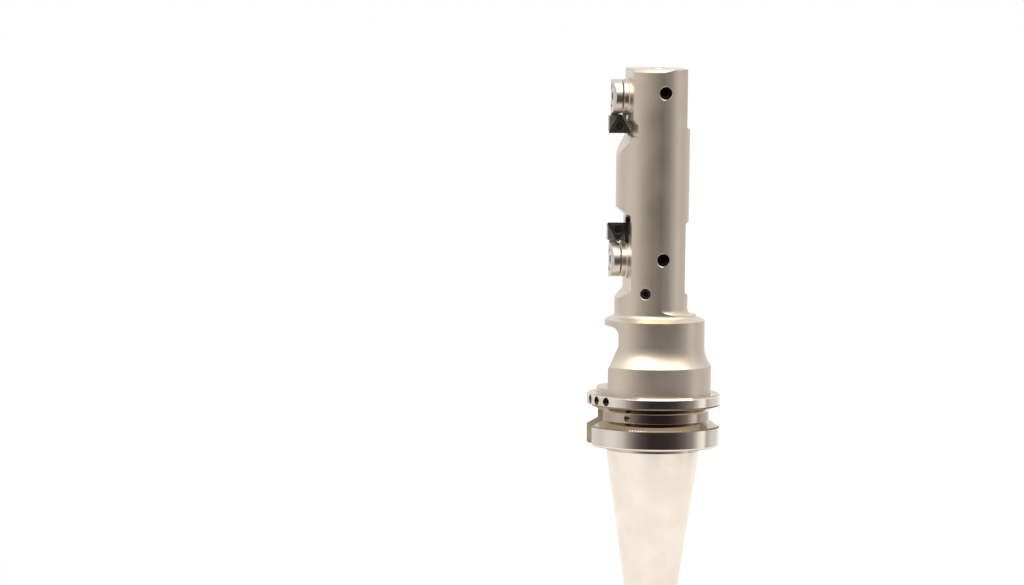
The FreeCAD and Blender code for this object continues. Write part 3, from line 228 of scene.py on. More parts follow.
# Width of the camera's sensor in millimetres
SENSOR_WIDTH = 36.0


def finish_settings():
    return bpy.context.scene.boring_bar_finish


def detail_settings():
    return bpy.context.scene.boring_bar_detail


def stage_settings():
    return bpy.context.scene.boring_bar_stage


def add(tree, kind, inputs=None, **settings):
    """Add one node with its settings, its input values and its links, by socket name or number."""
    node = tree.nodes.new(kind)
    for name, value in settings.items():
        setattr(node, name, value)
    for key, value in (inputs or {}).items():
        if isinstance(value, bpy.types.NodeSocket):
            tree.links.new(value, node.inputs[key])
        else:
            node.inputs[key].default_value = value
    return node


def new_tree(name):
    """The empty node tree of a new material."""
    material = bpy.data.materials.new(name)
    material.use_nodes = True
    material.node_tree.nodes.clear()
    return material, material.node_tree


# How far handling and wear move a roughness down, and up
GLOSS_DRIFT = 0.03
DULL_DRIFT = 0.05

# Soft borders between the surfaces of the body, in millimetres: where one starts to give way
# to the next, and where it has
GROUND_TOP = (92.42, 92.46)
TAPER_EDGE = (22.5, 22.9)
RIM_EDGE = (31.0, 31.3)
SLOT_WALL = (8.06, 8.2)


def plated_body_material(finish):
    """Electroless nickel: fine blasted above the flange, ground on the flange and taper."""
    # Blasting leaves a soft satin that spreads each reflection; grinding leaves fine rings
    # that keep the lamps and the dark room as crisp bands.
    material, tree = new_tree("electroless nickel over blasted and ground steel")
    place = add(tree, "ShaderNodeTexCoord").outputs["Object"]
    parts = add(tree, "ShaderNodeSeparateXYZ", {"Vector": place})
    flat = add(tree, "ShaderNodeVectorMath", {0: place, 1: (1.0, 1.0, 0.0)},
               operation="MULTIPLY").outputs[0]
    radius = add(tree, "ShaderNodeVectorMath", {0: flat}, operation="LENGTH").outputs["Value"]
    # Share of ground surface: all below the collar's foot
    below = add(tree, "ShaderNodeMapRange", {
        "Value": parts.outputs["Z"], "From Min": GROUND_TOP[0] * MM,
        "From Max": GROUND_TOP[1] * MM, "To Min": 1.0, "To Max": 0.0}).outputs["Result"]
    # Share of the flange: outside the taper
    flange = add(tree, "ShaderNodeMapRange", {
        "Value": radius, "From Min": TAPER_EDGE[0] * MM,
        "From Max": TAPER_EDGE[1] * MM}).outputs["Result"]
    # Share of turned surface: the groove and the flange's faces, inside the rims, where a darker
    # colour is painted in as their shade
    cut = add(tree, "ShaderNodeMapRange", {
        "Value": radius, "From Min": RIM_EDGE[0] * MM, "From Max": RIM_EDGE[1] * MM,
        "To Min": 1.0, "To Max": 0.0}).outputs["Result"]
    groove = add(tree, "ShaderNodeMath", {0: cut, 1: flange}, operation="MULTIPLY").outputs[0]
    # The drive slots, on both sides of the plane y = 0, keep the blasted surface
    aside = add(tree, "ShaderNodeMath", {0: parts.outputs["Y"]},
                operation="ABSOLUTE").outputs[0]
    between = add(tree, "ShaderNodeMapRange", {
        "Value": aside, "From Min": SLOT_WALL[0] * MM, "From Max": SLOT_WALL[1] * MM,
        "To Min": 1.0, "To Max": 0.0}).outputs["Result"]
    slot = add(tree, "ShaderNodeMath", {0: between, 1: flange},
               operation="MULTIPLY").outputs[0]
    ground = add(tree, "ShaderNodeMapRange", {
        "Value": slot, "To Min": below, "To Max": 0.0}).outputs["Result"]
    # Tone drifts over about 15 mm of plate
    drift = add(tree, "ShaderNodeTexNoise", {
        "Vector": place, "Scale": 1 / (15 * MM), "Detail": 3.0, "Roughness": 0.6}).outputs["Fac"]
    plate = add(tree, "ShaderNodeMix", {
        0: drift, 6: (*finish.nickel, 1.0), 7: (*finish.nickel_shade, 1.0)},
        data_type="RGBA").outputs[2]
    # Handled patches of the taper, with soft edges
    patch = add(tree, "ShaderNodeMapRange", {
        "Value": drift, "From Min": 0.35, "From Max": 0.75}).outputs["Result"]
    taper = add(tree, "ShaderNodeMix", {
        0: patch, 6: (*finish.taper_nickel, 1.0), 7: (*finish.taper_shade, 1.0)},
        data_type="RGBA").outputs[2]
    polished = add(tree, "ShaderNodeMix", {
        0: flange, 6: taper, 7: (*finish.ground_nickel, 1.0)}, data_type="RGBA").outputs[2]
    # Painted shade: the groove and the flange's faces take the darker groove colour
    shank_with_painted_shade = add(tree, "ShaderNodeMix", {0: groove, 6: polished,
                                        7: (*finish.turned_nickel, 1.0)},
                data_type="RGBA").outputs[2]
    tone = add(tree, "ShaderNodeMix", {0: ground, 6: plate, 7: shank_with_painted_shade},
               data_type="RGBA").outputs[2]
    # Bead marks are near 0.05 mm; drawn at 0.25 mm so that they show
    grit = add(tree, "ShaderNodeTexNoise", {
        "Vector": place, "Scale": 1 / (0.25 * MM), "Detail": 2.0}).outputs["Fac"]
    # Grinding rings about 0.3 mm apart, along the tool
    along = add(tree, "ShaderNodeCombineXYZ", {"Z": parts.outputs["Z"]}).outputs[0]
    rings = add(tree, "ShaderNodeTexNoise", {
        "Vector": along, "Scale": 1 / (0.3 * MM), "Detail": 3.0}).outputs["Fac"]
    relief = add(tree, "ShaderNodeMix", {0: ground, 2: grit, 3: rings},
                 data_type="FLOAT").outputs[0]
    edge = add(tree, "ShaderNodeBevel", {"Radius": finish.edge_break}, samples=4).outputs[0]
    bump = add(tree, "ShaderNodeBump", {
        "Strength": 0.12, "Distance": 0.02 * MM, "Height": relief, "Normal": edge}).outputs[0]
    # Roughness: the blasted plate's drifts, the taper's and the flange's are even
    wear = add(tree, "ShaderNodeMapRange", {
        "Value": drift, "From Min": 0.3, "From Max": 0.7,
        "To Min": finish.blasted_roughness - GLOSS_DRIFT,
        "To Max": finish.blasted_roughness + GLOSS_DRIFT}).outputs["Result"]
    turned = add(tree, "ShaderNodeMapRange", {
        "Value": flange, "From Min": 0.0, "From Max": 1.0,
        "To Min": finish.ground_roughness,
        "To Max": finish.rim_roughness}).outputs["Result"]
    rough = add(tree, "ShaderNodeMix", {0: ground, 2: wear, 3: turned},
                data_type="FLOAT").outputs[0]
    shader = add(tree, "ShaderNodeBsdfPrincipled", {
        "Base Color": tone, "Metallic": 1.0, "Roughness": rough, "Normal": bump}).outputs[0]
    add(tree, "ShaderNodeOutputMaterial", {"Surface": shader})
    return material


def ground_steel_material(finish):
    """Hardened tool steel, turned and ground about the unit's axis."""
    # Bright, with a soft gloss: faint rings across the axis spread each reflection.
    material, tree = new_tree("ground hardened tool steel")
    place = add(tree, "ShaderNodeTexCoord").outputs["Object"]
    reach = add(tree, "ShaderNodeSeparateXYZ", {"Vector": place}).outputs["X"]
    along = add(tree, "ShaderNodeCombineXYZ", {"X": reach}).outputs[0]
    # Grinding rings about 0.12 mm apart
    rings = add(tree, "ShaderNodeTexNoise", {
        "Vector": along, "Scale": 1 / (0.12 * MM), "Detail": 3.0}).outputs["Fac"]
    smear = add(tree, "ShaderNodeTexNoise", {
        "Vector": place, "Scale": 1 / (4 * MM), "Detail": 4.0}).outputs["Fac"]
    rough = add(tree, "ShaderNodeMapRange", {
        "Value": smear, "From Min": 0.3, "From Max": 0.7,
        "To Min": finish.steel_roughness - GLOSS_DRIFT,
        "To Max": finish.steel_roughness + DULL_DRIFT}).outputs["Result"]
    edge = add(tree, "ShaderNodeBevel", {"Radius": finish.edge_break / 2},
               samples=4).outputs[0]
    bump = add(tree, "ShaderNodeBump", {
        "Strength": 0.08, "Distance": 0.01 * MM, "Height": rings, "Normal": edge}).outputs[0]
    shader = add(tree, "ShaderNodeBsdfPrincipled", {
        "Base Color": (*finish.ground_steel, 1.0), "Metallic": 1.0, "Roughness": rough,
        "Normal": bump}).outputs[0]
    add(tree, "ShaderNodeOutputMaterial", {"Surface": shader})
    return material


def mottled_material(name, base, metallic, roughness, spread, grain, edge_break):
    """A hard surface whose tone and gloss drift, with a fine grain in its relief."""
    material, tree = new_tree(name)
    place = add(tree, "ShaderNodeTexCoord").outputs["Object"]
    drift = add(tree, "ShaderNodeTexNoise", {
        "Vector": place, "Scale": 1 / (3 * MM), "Detail": 4.0}).outputs["Fac"]
    dark = tuple(c * (1 - spread) for c in base)
    light = tuple(min(c * (1 + spread), 1.0) for c in base)
    tone = add(tree, "ShaderNodeMix", {0: drift, 6: (*dark, 1.0), 7: (*light, 1.0)},
               data_type="RGBA").outputs[2]
    rough = add(tree, "ShaderNodeMapRange", {
        "Value": drift, "From Min": 0.3, "From Max": 0.7, "To Min": roughness - 0.04,
        "To Max": roughness + DULL_DRIFT}).outputs["Result"]
    grit = add(tree, "ShaderNodeTexNoise", {
        "Vector": place, "Scale": 1 / grain, "Detail": 2.0}).outputs["Fac"]
    edge = add(tree, "ShaderNodeBevel", {"Radius": edge_break}, samples=4).outputs[0]
    bump = add(tree, "ShaderNodeBump", {
        "Strength": 0.15, "Distance": 0.01 * MM, "Height": grit, "Normal": edge}).outputs[0]
    shader = add(tree, "ShaderNodeBsdfPrincipled", {
        "Base Color": tone, "Metallic": metallic, "Roughness": rough,
        "Normal": bump}).outputs[0]
    add(tree, "ShaderNodeOutputMaterial", {"Surface": shader})
    return material


def make_materials():
    """One material for each slot of the record, and those of single nodes and pieces."""
    finish = finish_settings()
    full = finish.edge_break
    return {
        "nickel_plated_steel": plated_body_material(finish),
        "ground_steel": ground_steel_material(finish),
        # Blackened in a hot salt bath and oiled: nearly black, with a soft broad gloss
        "black_oxide_steel": mottled_material(
            "black oxide on steel", finish.black_oxide, metallic=0.7,
            roughness=finish.oxide_roughness, spread=0.2, grain=0.2 * MM, edge_break=full),
        # Nickel over the knurled corner: its small faces send the light all ways, and its dark
        # colour is painted shade between the notches
        "notched_corner": mottled_material(
            "nickel over a knurled corner", finish.knurl, metallic=1.0,
            roughness=finish.knurl_roughness, spread=0.05, grain=0.4 * MM,
            edge_break=full / 8),
        # Milled and hardened, then blasted: a dark satin grey
        "satin_steel": mottled_material(
            "blasted tool steel", finish.satin_steel, metallic=1.0,
            roughness=finish.satin_roughness, spread=0.08, grain=0.2 * MM, edge_break=full),
        # Ceramic coating some microns thick over sintered carbide: dark, with a tighter gloss
        "coated_carbide": mottled_material(
            "black ceramic coating on carbide", finish.carbide, metallic=0.6,
            roughness=finish.carbide_roughness, spread=0.06, grain=0.4 * MM,
            edge_break=full / 3),
        # Hardened and left as it came from the bath: grey and dull
        "spring_steel": mottled_material(
            "hardened spring steel", finish.spring, metallic=1.0,
            roughness=finish.spring_roughness, spread=0.1, grain=0.2 * MM, edge_break=full),
        # Turned bar stock: yellow and bright, with a dull edge where it rubs
        "brass": mottled_material(
            "turned brass", finish.brass, metallic=1.0, roughness=finish.brass_roughness,
            spread=0.1, grain=0.2 * MM, edge_break=full),
        # Paint wiped into the engraved lines: black with hardly any gloss
        "ink": mottled_material(
            "engraving ink", finish.ink, metallic=0.0, roughness=finish.ink_roughness,
            spread=0.2, grain=0.1 * MM, edge_break=full / 8),
    }


def assign(piece, material):
    piece.data.materials.clear()
    piece.data.materials.append(material)


def piece_from_grid(name, points, body, slot, closed_rows=False, smooth=True, look=None):
    """A solid from points on a grid (rows, columns, 3): each row is one closed section.

    The last row meets the first if closed_rows, otherwise both end rows are faces."""
    rows, columns = points.shape[:2]
    i, j = np.meshgrid(np.arange(rows if closed_rows else rows - 1), np.arange(columns),
                       indexing="ij")
    ni = (i + 1) % rows
    nj = (j + 1) % columns
    faces = np.stack([i * columns + j, ni * columns + j, ni * columns + nj,
                      i * columns + nj], -1).reshape(-1, 4).tolist()
    if not closed_rows:
        faces.append(list(range(columns)))
        faces.append([(rows - 1) * columns + k for k in reversed(range(columns))])
    return piece_from_faces(name, points.reshape(-1, 3), faces, body,
                            materials()[look or slot], smooth)


def piece_from_faces(name, points, faces, body, material, smooth=True):
    """A solid from points and faces, riding on a body, its faces turned to look outwards."""
    mesh = bpy.data.meshes.new(name)
    mesh.from_pydata(points.tolist(), [], faces)
    if mesh.validate():
        raise RuntimeError(f"{name} has faces that aren't valid")
    shape = bmesh.new()
    shape.from_mesh(mesh)
    if any(len(edge.link_faces) != 2 for edge in shape.edges):
        raise RuntimeError(f"{name} is open")
    if shape.calc_volume(signed=True) < 0:
        bmesh.ops.reverse_faces(shape, faces=shape.faces)
    shape.to_mesh(mesh)
    shape.free()
    mesh.polygons.foreach_set("use_smooth", np.full(len(mesh.polygons), smooth))
    piece = bpy.data.objects.new(name, mesh)
    bpy.context.scene.collection.objects.link(piece)
    assign(piece, material)
    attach(piece, body)
    return piece


MATERIALS = {}


def materials():
    """The materials by slot or look, made once."""
    if not MATERIALS:
        MATERIALS.update(make_materials())
    return MATERIALS


# Nodes whose surface differs from the rest of their slot, by the end of their name
OWN_LOOKS = {"insert_holder": "satin_steel"}


class BORINGBAR_OT_finish(bpy.types.Operator):
    """Give every solid of the tool its finish."""

    bl_idname = "boringbar.finish"
    bl_label = "Finish Solids"

    def execute(self, context):
        made = materials()
        slots = {part["node"]: part["material_slot"] for part in frame["record"]["subparts"]}
        for name, node in frame["nodes"].items():
            own = [look for ending, look in OWN_LOOKS.items() if name.endswith(ending)]
            assign(node, made[own[0] if own else slots[name]])
        return {"FINISHED"}


def rounded_triangle(inner, corner, steps=9):
    """Points of a three-cornered outline round the origin, its base towards -V.

    Each side lies at the inner radius from the centre; each corner is an arc whose centre is
    on the corner's ray, at twice the difference of inner radius and corner radius."""
    rays = np.radians([90.0, 210.0, 330.0])
    centres = 2 * (inner - corner) * np.stack([np.cos(rays), np.sin(rays)], 1)
    sweep = np.radians(np.linspace(-60.0, 60.0, steps))
    turns = rays[:, None] + sweep[None, :]
    arcs = centres[:, None, :] + corner * np.stack([np.cos(turns), np.sin(turns)], -1)
    # Straight sides get four more points each, so that the hole's circle stays round
    ends = np.roll(arcs[:, 0], -1, 0)
    share = np.array([0.2, 0.4, 0.6, 0.8])[None, :, None]
    sides = arcs[:, -1][:, None, :] * (1 - share) + ends[:, None, :] * share
    return np.concatenate([arcs, sides], 1).reshape(-1, 2)


# Honed cutting edge of an insert, from flank to rake face: millimetres inwards and behind
# the rake plane
CUTTING_EDGE = ((0.03, 0.06), (0.0, 0.012), (0.015, 0.0))

# Rake face behind the land: millimetres inwards, share of the corner's radius and share of
# the chip groove's depth
CHIP_GROOVE = ((0.0, 0.8, 0.0), (0.18, 0.7, 0.6), (0.4, 0.6, 1.0), (0.75, 0.6, 0.5),
               (0.95, 0.6, 0.125), (1.02, 0.6, 0.0))


class BORINGBAR_OT_inserts(bpy.types.Operator):
    """Grind the inserts: cutting land, chip groove, clearance and countersunk hole."""

    bl_idname = "boringbar.inserts"
    bl_label = "Grind Inserts"

    def execute(self, context):
        detail = detail_settings()
        for unit, hand in UNITS.items():
            low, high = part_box(f"{unit}_cutting_insert")
            screw_low, screw_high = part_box(f"{unit}_insert_screw")
            centre_x = (screw_low.x + screw_high.x) / 2
            centre_z = (screw_low.z + screw_high.z) / 2
            base = low.z if hand < 0 else high.z
            inner = abs(base - centre_z)
            depth = high.y
            corner = detail.insert_corner
            shrink = depth * math.tan(detail.insert_clearance)
            outline = rounded_triangle(inner, corner)
            turns = np.arctan2(outline[:, 1], outline[:, 0])
            ring = np.stack([np.cos(turns), np.sin(turns)], 1)
            # Rings of one closed section: (outline or circle, depth behind the rake plane)
            section = [
                (ring * detail.hole_radius, depth),
                (rounded_triangle(inner - shrink, corner), depth),
            ]
            for inwards, behind in CUTTING_EDGE:
                section.append((rounded_triangle(inner - inwards * MM, corner), behind * MM))
            for inwards, round_share, depth_share in CHIP_GROOVE:
                reach = inner - detail.insert_land - inwards * MM
                section.append((rounded_triangle(reach, corner * round_share),
                                detail.chip_depth * depth_share))
            section += [
                (ring * detail.sink_radius, 0.0),
                (ring * (detail.sink_radius - detail.sink_edge), detail.sink_edge),
                (ring * detail.hole_radius, detail.sink_depth),
            ]
            flat = np.stack([points for points, _ in section])
            grid = np.empty((len(section), flat.shape[1], 3))
            grid[..., 0] = centre_x + flat[..., 0]
            grid[..., 1] = np.array([y for _, y in section])[:, None]
            grid[..., 2] = centre_z - hand * flat[..., 1]
            piece = piece_from_grid(f"{unit}_ground_insert", grid, f"{unit}_slide",
                                    "coated_carbide", closed_rows=True)
            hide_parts(f"{unit}_cutting_insert")
        return {"FINISHED"}


def around(unit, reach, radius, turn):
    """Points at a reach towards -X, a radius and a turn from -Y upwards about a unit's axis."""
    reach, radius, turn = np.broadcast_arrays(reach, radius, turn)
    return np.stack([-reach, -radius * np.cos(turn),
                     UNIT_HEIGHT[unit] + radius * np.sin(turn)], -1)


def raised_lines(starts, ends, normals, width, rise):
    """Points and faces of thin blocks, one from each start to its end, standing on a surface.

    A block's frame is (side, along, normal), with side = along x normal; its eight corners
    are start or end, minus or plus half a width of side, minus or plus the rise of normal."""
    along = ends - starts
    side = np.cross(along, normals)
    side *= width / 2 / np.linalg.norm(side, axis=1, keepdims=True)
    foot = [starts - side, starts + side, ends + side, ends - side]
    lift = normals * rise
    points = np.stack([corner - lift for corner in foot] + [corner + lift for corner in foot], 1)
    block = np.array([[0, 3, 2, 1], [4, 5, 6, 7], [0, 1, 5, 4], [1, 2, 6, 5], [2, 3, 7, 6],
                      [3, 0, 4, 7]])
    faces = block[None] + 8 * np.arange(len(starts))[:, None, None]
    return points.reshape(-1, 3), faces.reshape(-1, 4).tolist()


# Height of a digit as a share of its font's size
DIGIT_SHARE = 0.7


class BORINGBAR_OT_graduations(bpy.types.Operator):
    """Engrave the dials, the guards round them and the scale rings."""

    bl_idname = "boringbar.graduations"
    bl_label = "Engrave Dials"

    def execute(self, context):
        detail = detail_settings()
        step = TURN / detail.divisions
        numbers = np.arange(detail.divisions)
        marks = np.arange(detail.vernier + 1)
        for unit in UNITS:
            low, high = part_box(f"{unit}_dial")
            radius = (high.z - low.z) / 2
            turns = detail.zero_turn + numbers * step
            outer = radius - detail.line_inset
            longs = np.where(numbers % detail.numbered == 0, detail.long_line,
                             detail.short_line)
            starts = around(unit, -low.x, outer - longs, turns)
            ends = around(unit, -low.x, outer, turns)
            normals = np.broadcast_to([-1.0, 0.0, 0.0], starts.shape)
            self.lines(f"{unit}_dial_lines", starts, ends, normals, f"{unit}_dial")
            # The divisions of the vernier span one less on the dial; the guard's face is
            # round about the tool axis
            turns = detail.zero_turn + marks * step * (detail.vernier - 1) / detail.vernier
            circle = -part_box(f"{unit}_dial_guard")[0].x
            sides = []
            for place in (radius + detail.line_inset, radius + detail.line_inset
                          + detail.mark_length):
                side = around(unit, 0.0, place, turns)
                side[:, 0] = -np.sqrt(circle ** 2 - side[:, 1] ** 2)
                sides.append(side)
            normals = sides[0] * (1.0, 1.0, 0.0) / circle
            self.lines(f"{unit}_guard_lines", *sides, normals, f"{unit}_slide")
            # The same marks on the scale ring behind the guard
            outer = self.guard_radius(unit)
            ring_face = -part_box(f"{unit}_guide_sleeve")[0].x - detail.line_inset
            starts = around(unit, ring_face - detail.mark_length, outer, turns)
            ends = around(unit, ring_face, outer, turns)
            normals = around(unit, 0.0, 1.0, turns) - around(unit, 0.0, 0.0, turns)
            self.lines(f"{unit}_ring_lines", starts, ends, normals, "bar")
            self.numbers(unit, detail)
        return {"FINISHED"}

    def guard_radius(self, unit):
        """Radius of the guard, which is the scale ring's too."""
        low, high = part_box(f"{unit}_dial_guard")
        return (high.y - low.y) / 2

    def lines(self, name, starts, ends, normals, body):
        """Ink in the engraved lines, as one piece."""
        detail = detail_settings()
        points, faces = raised_lines(starts, ends, normals, detail.line_width, detail.ink_rise)
        piece_from_faces(name, points, faces, body, materials()["ink"],
                         smooth=False)

    def numbers(self, unit, detail):
        """Numbers round the dial's face, one at each long line, as one piece."""
        low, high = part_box(f"{unit}_dial")
        ring = (high.z - low.z) / 2 - detail.number_inset
        joined = bmesh.new()
        for number in range(detail.divisions // detail.numbered):
            curve = bpy.data.curves.new(f"{unit}_number_{number}", "FONT")
            curve.body = str(number)
            curve.size = detail.number_height / DIGIT_SHARE
            curve.align_x = "CENTER"
            curve.align_y = "CENTER"
            curve.extrude = detail.ink_rise
            holder = bpy.data.objects.new(curve.name, curve)
            bpy.context.scene.collection.objects.link(holder)
            bpy.context.view_layer.update()
            mesh = bpy.data.meshes.new_from_object(holder)
            bpy.data.objects.remove(holder)
            turn = detail.zero_turn + number * detail.numbered * TURN / detail.divisions
            # The text's top points out along the ray, its front towards -X
            out = Vector((0.0, -math.cos(turn), math.sin(turn)))
            front = Vector((-1.0, 0.0, 0.0))
            right = out.cross(front)
            centre = Vector((low.x, 0.0, UNIT_HEIGHT[unit])) + out * ring
            basis = Matrix((right, out, front)).transposed().to_4x4()
            mesh.transform(Matrix.Translation(centre) @ basis)
            joined.from_mesh(mesh)
            bpy.data.meshes.remove(mesh)
        mesh = bpy.data.meshes.new(f"{unit}_dial_numbers")
        bmesh.ops.remove_doubles(joined, verts=joined.verts, dist=1e-7)
        joined.to_mesh(mesh)
        joined.free()
        piece = bpy.data.objects.new(mesh.name, mesh)
        bpy.context.scene.collection.objects.link(piece)
        assign(piece, materials()["ink"])
        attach(piece, f"{unit}_dial")


def thread(radius, pitch, height, start, end, per_turn=48):
    """A thread's ridge inside a hole along +Z: a closed section carried along a helix.

    At sweep a, a section point (u, v) lies at radius - height * v * fade(a) and at level
    start + pitch * (a / 2 pi + u). The fade falls to almost nothing over the first and last
    half turn. Returns points as (along the helix, round the section)."""
    turns = (end - start) / pitch
    steps = int(turns * per_turn) + 1
    sweep = np.linspace(0.0, turns * TURN, steps)
    fade = np.minimum(1.0, np.minimum(sweep, sweep[-1] - sweep) / math.pi)
    fade = fade * fade * (3 - 2 * fade)
    level = start + sweep / TURN * pitch
    # (share of the pitch along the hole, share of the height inwards)
    section = np.array([(-0.46, -0.12), (-0.40, 0.0), (-0.08, 0.94), (0.0, 1.0), (0.08, 0.94),
                        (0.40, 0.0), (0.46, -0.12)])
    reach = radius - height * section[None, :, 1] * np.maximum(fade, 0.02)[:, None]
    rise = level[:, None] + pitch * section[None, :, 0] * np.maximum(fade, 0.1)[:, None]
    return np.stack([reach * np.cos(sweep)[:, None], reach * np.sin(sweep)[:, None], rise], -1)


class BORINGBAR_OT_threads(bpy.types.Operator):
    """Cut the threads that show in open holes."""

    bl_idname = "boringbar.threads"
    bl_label = "Cut Threads"

    def execute(self, context):
        detail = detail_settings()
        mounts = {mount["name"]: mount for mount in frame["record"]["mounts"]}
        stud = mounts["pull_stud_thread"]
        reach = (stud["dims"]["length_mm"] * MM - detail.stud_pitch) / 2
        level = stud["pos_m"][2]
        grid = thread(stud["dims"]["r_mm"] * MM, detail.stud_pitch,
                      detail.stud_pitch * detail.thread_height, level - reach, level + reach)
        piece_from_grid("pull_stud_thread_turns", grid, "bar", "nickel_plated_steel")
        # Turns of the clamp holes, between the screw and the bar's side
        for unit in UNITS:
            low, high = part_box(f"{unit}_clamp_screw")
            start = -low.y + detail.clamp_pitch / 2
            grid = thread(detail.clamp_radius, detail.clamp_pitch,
                          detail.clamp_pitch * detail.thread_height, start,
                          start + detail.clamp_pitch * detail.clamp_turns)
            turned = np.stack([(low.x + high.x) / 2 + grid[..., 0], -grid[..., 2],
                               (low.z + high.z) / 2 + grid[..., 1]], -1)
            piece_from_grid(f"{unit}_clamp_thread_turns", turned, "bar", "black_oxide_steel")
        return {"FINISHED"}


# The drive slots cut the rims near -X and +X, so each rim has two bands: the degrees from +X
# where each starts, and the degrees that it covers
RIM_STARTS = {"front": 195.5, "back": 15.5}
RIM_SWEEP = 149.0

# Depth of a notch at four steps of its spacing, as a share of the corner
NOTCH = (0.0, 1.0, 0.0, 0.0)

# How far a band stays inside the rim's own surface
RIM_SUNK = 0.004 * MM


class BORINGBAR_OT_rims(bpy.types.Operator):
    """Notch the two rims of the gripper groove."""

    bl_idname = "boringbar.rims"
    bl_label = "Notch Groove Rims"

    def execute(self, context):
        detail = detail_settings()
        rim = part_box("bar_body")[1].x
        mounts = {mount["name"]: mount for mount in frame["record"]["mounts"]}
        centre = mounts["gripper_groove"]["pos_m"][2]
        mouth = detail.groove_floor / 2 + detail.groove_depth * math.tan(detail.groove_slope)
        for name, side in (("upper", 1), ("lower", -1)):
            for where, first in RIM_STARTS.items():
                grid = self.band(rim, centre + side * mouth, side, first, first + RIM_SWEEP)
                piece_from_grid(f"{name}_groove_rim_{where}", grid, "bar",
                                "nickel_plated_steel", smooth=False, look="notched_corner")
        return {"FINISHED"}

    def band(self, rim, level, side, first, last):
        """Sections of a band that fills the rim's broken edge to a sharp, notched corner.

        A section runs from the groove's flank over the corner to the rim. In a notch the
        corner falls back to the broken edge: corner + notch * (middle - corner). Two more
        points close the section in the steel."""
        detail = detail_settings()
        lip = detail.notch_width
        proud = detail.ink_rise
        slope = math.tan(detail.groove_slope)
        edge = rim - RIM_SUNK
        inner = np.array([edge - lip, level - side * (lip * slope + proud)])
        corner = np.array([edge, level - side * proud])
        outer = np.array([edge, level + side * lip])
        notches = int(math.radians(last - first) * rim / detail.notch_spacing)
        sweep = np.radians(np.linspace(first, last, notches * len(NOTCH) + 1))
        notch = np.resize(NOTCH, sweep.size)[:, None]
        middle = corner + notch * ((inner + outer) / 2 - corner)
        deep = np.array([-lip / 2, side * lip / 2])
        ends = [np.broadcast_to(end, middle.shape) for end in (
            outer, outer + deep, inner + deep, inner)]
        section = np.stack([middle, *ends], 1)
        return np.stack([section[..., 0] * np.cos(sweep)[:, None],
                         section[..., 0] * np.sin(sweep)[:, None], section[..., 1]], -1)


